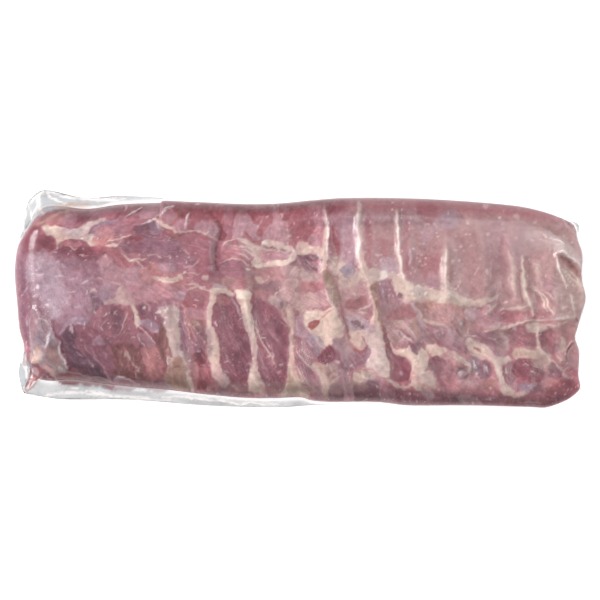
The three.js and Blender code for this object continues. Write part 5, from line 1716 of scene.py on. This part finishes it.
class Finish:
    """Builds one procedural material."""

    def __init__(self, name):
        self.material = bpy.data.materials.new(name)
        self.material.use_nodes = True
        self.tree = self.material.node_tree
        self.tree.nodes.clear()

    def node(self, kind, settings=None, inputs=None, output=0):
        """Adds a node with its settings first, then its values and links."""
        node = self.tree.nodes.new(kind)
        for key, value in (settings or {}).items():
            setattr(node, key, value)
        for key, value in (inputs or {}).items():
            if isinstance(value, Wire):
                self.tree.links.new(value.socket, node.inputs[key])
            else:
                node.inputs[key].default_value = value
        return Wire(self, node.outputs[output])

    def colour_mix(self, share, first, second, blend="MIX"):
        """A mix of two colours."""
        return self.node("ShaderNodeMix", {"data_type": "RGBA", "blend_type": blend},
                         {0: share, 6: first, 7: second}, 2)

    def noise(self, place, scale, detail=3, roughness=0.55):
        """Noise with lumps that many to the metre."""
        return self.node("ShaderNodeTexNoise", None, {
            "Vector": place, "Scale": scale, "Detail": detail, "Roughness": roughness})

    def step(self, value, low, high):
        """0 below low, 1 above high."""
        return self.node("ShaderNodeMapRange", {"interpolation_type": "SMOOTHSTEP"},
                         {0: value, 1: low, 2: high, 3: 0.0, 4: 1.0})

    def attribute(self, name, output=0):
        """A colour layer: 0 its colour, 1 its vector, 3 its alpha."""
        return self.node("ShaderNodeAttribute", {"attribute_name": name}, None, output)

    def place(self):
        """The place on the piece, in metres."""
        return self.node("ShaderNodeTexCoord", None, None, OBJECT_OUTPUT)

    def vector(self, x, y, z):
        """A vector of three numbers or outputs."""
        return self.node("ShaderNodeCombineXYZ", None, {0: x, 1: y, 2: z})

    def surface(self, shader):
        """Links the shader to the material's output."""
        output = self.tree.nodes.new("ShaderNodeOutputMaterial")
        self.tree.links.new(shader.socket, output.inputs["Surface"])
        return self.material


def meat_finish():
    """Raw meat and fat: painted tone, drawn out in fibres, broken up by fine grain, moist."""
    f = Finish("raw_meat_and_fat")
    tone, fat = f.attribute("tone"), f.attribute("tone", 3)
    fibres = f.attribute("fibre", 1)
    along, over, share = [f.node("ShaderNodeSeparateXYZ", None, {0: fibres}, k) for k in range(3)]
    strand = f.noise(f.vector(along * 0.09, over * 0.62, 0.5), 1, 3, 0.6)
    bundle = f.noise(f.vector(along * 0.045, over * 0.24, 3.5), 1, 2, 0.5)
    place = f.place()
    fine = f.noise(place, 900, 4, 0.6)
    blots = f.noise(place, 300, 3, 0.6)
    flecks = f.step(f.noise(place, 520, 2, 0.5), 0.62, 0.74)
    shade = (fine - 0.5) * 0.42 + (blots - 0.5) * 0.36 + 0.5
    shade = shade + (strand - 0.5) * share * 0.6 + (bundle - 0.5) * share * 0.3
    grey = f.node("ShaderNodeCombineColor", None, {0: shade, 1: shade, 2: shade})
    colour = f.colour_mix(0.75, tone, grey, "OVERLAY")
    sinew = f.step(strand, 0.58, 0.72) * share * 0.4
    sinewy = f.colour_mix(sinew, colour, SINEW)
    pale = f.colour_mix(flecks * 0.14, sinewy, FLECK)
    bump = f.node("ShaderNodeBump", None, {
        "Strength": 0.35, "Distance": 0.0006,
        "Height": fine * 0.5 + blots * 0.8 + strand * share * 1.2})
    shader = f.node("ShaderNodeBsdfPrincipled", None, {
        "Base Color": pale,
        "Roughness": 0.62 - fat * 0.12,
        "Specular IOR Level": 0.3,
        "Normal": bump,
    })
    return f.surface(shader)


def film_finish():
    """Clear film: a gloss over nothing, milky where two plies lie together."""
    f = Finish("clear_shrink_film")
    milky_tone, milky = f.attribute("tone"), f.attribute("tone", 3)
    ripple = f.noise(f.place(), 160, 2, 0.5)
    bump = f.node("ShaderNodeBump", None,
                  {"Strength": 0.25, "Distance": 0.0008, "Height": ripple})
    clear = f.node("ShaderNodeBsdfTransparent", None, {"Color": WHITE})
    veil = f.node("ShaderNodeBsdfPrincipled", None, {
        "Base Color": milky_tone, "Roughness": 0.35, "Normal": bump})
    body = f.node("ShaderNodeMixShader", None, {0: milky, 1: clear, 2: veil})
    gloss = f.node("ShaderNodeBsdfGlossy", None, {
        "Color": WHITE, "Roughness": look().film_roughness, "Normal": bump})
    fresnel = f.node("ShaderNodeFresnel", None, {"IOR": FILM_IOR, "Normal": bump})
    return f.surface(f.node("ShaderNodeMixShader", None, {0: fresnel, 1: body, 2: gloss}))


CAMERA_HEIGHT_OVER = 13  # the height whose scale is the photograph's
SENSOR = 36  # millimetres
FAR_CLIP = 100  # metres, as are the sizes and places below
FLOOR_SIZE = 3
FLOOR_GREY = (0.35, 0.35, 0.35, 1)
FLOOR_GLOW = 0.9
KEY_PLACE = (-2.2, 0.5, 2.7)
KEY_SIZE = 1.5
FILL_PLACE = (0.75, 0.5, 1.8)
FILL_SIZE = 1.3


def soft_light(name, place, size, power):
    """A square soft light that looks at the pack."""
    light = bpy.data.lights.new(name, "AREA")
    light.size = size
    light.energy = power
    lamp = bpy.data.objects.new(name, light)
    lamp.location = place
    lamp.rotation_euler = (-Vector(place)).to_track_quat("-Z", "Y").to_euler()
    bpy.context.scene.collection.objects.link(lamp)
    return lamp


def floor_finish():
    """A plain pale floor that glows enough to stay white."""
    f = Finish("white_floor")
    diffuse = f.node("ShaderNodeBsdfDiffuse", None, {"Color": FLOOR_GREY})
    glow = f.node("ShaderNodeEmission", None, {"Color": WHITE, "Strength": FLOOR_GLOW})
    return f.surface(f.node("ShaderNodeAddShader", None, {0: diffuse, 1: glow}))


class RIBS_OT_stage(bpy.types.Operator):
    """Adds the floor, the lights and the camera that looks straight down"""

    bl_idname = "ribs.stage"
    bl_label = "Stage"

    def execute(self, context):
        scene = context.scene
        stage = scene.stage_look
        bm = bmesh.new()
        bmesh.ops.create_grid(bm, x_segments=1, y_segments=1, size=FLOOR_SIZE)
        floor = finish_mesh(bm, "floor")
        floor.data.materials.append(floor_finish())
        world = bpy.data.worlds.new("soft_room")
        scene.world = world
        world.use_nodes = True
        sky = world.node_tree.nodes["Background"]
        sky.inputs["Color"].default_value = WHITE
        sky.inputs["Strength"].default_value = stage.dome
        soft_light("key_light", KEY_PLACE, KEY_SIZE, stage.key_power)
        soft_light("fill_light", FILL_PLACE, FILL_SIZE, stage.fill_power)
        camera_data = bpy.data.cameras.new("camera_above")
        camera_data.lens = stage.lens
        camera_data.sensor_width = SENSOR
        camera_data.clip_end = FAR_CLIP
        camera = bpy.data.objects.new("camera_above", camera_data)
        middle = [(PHOTO_WIDTH / 2 - k) * PIXEL for k in PHOTO_MIDDLE]
        distance = PHOTO_WIDTH * PIXEL / SENSOR * stage.lens
        camera.location = (middle[0] * MM, -middle[1] * MM,
                           (CAMERA_HEIGHT_OVER + distance) * MM)
        scene.collection.objects.link(camera)
        scene.camera = camera
        scene.view_settings.view_transform = "Standard"
        return {"FINISHED"}


class RIBS_PT_panel(bpy.types.Panel):
    """Lists the pieces and their settings"""

    bl_label = "Sealed rack of ribs"
    bl_space_type = "VIEW_3D"
    bl_region_type = "UI"
    bl_category = "Ribs"

    def draw(self, context):
        for step in STEPS:
            self.layout.operator(step.bl_idname)
        for group, kind in GROUPS.items():
            for name in kind.__annotations__:
                self.layout.prop(getattr(context.scene, group), name)


STEPS = [RIBS_OT_rack, RIBS_OT_film, RIBS_OT_juice, RIBS_OT_stage]
GROUPS = {"pack_look": PackLook, "meat_colours": MeatColours, "stage_look": StageLook}


def register():
    """Registers the classes and hangs their settings on the scene."""
    for kind in [*GROUPS.values(), *STEPS, RIBS_PT_panel]:
        bpy.utils.register_class(kind)
    for group, kind in GROUPS.items():
        setattr(bpy.types.Scene, group, PointerProperty(type=kind))


def unregister():
    """Takes the settings and classes away again."""
    for group in GROUPS:
        delattr(bpy.types.Scene, group)
    for kind in reversed([*GROUPS.values(), *STEPS, RIBS_PT_panel]):
        bpy.utils.unregister_class(kind)


def main():
    """Builds every piece."""
    register()
    for step in STEPS:
        group, name = step.bl_idname.split(".")
        getattr(getattr(bpy.ops, group), name)()


if __name__ == "__main__":
    main()
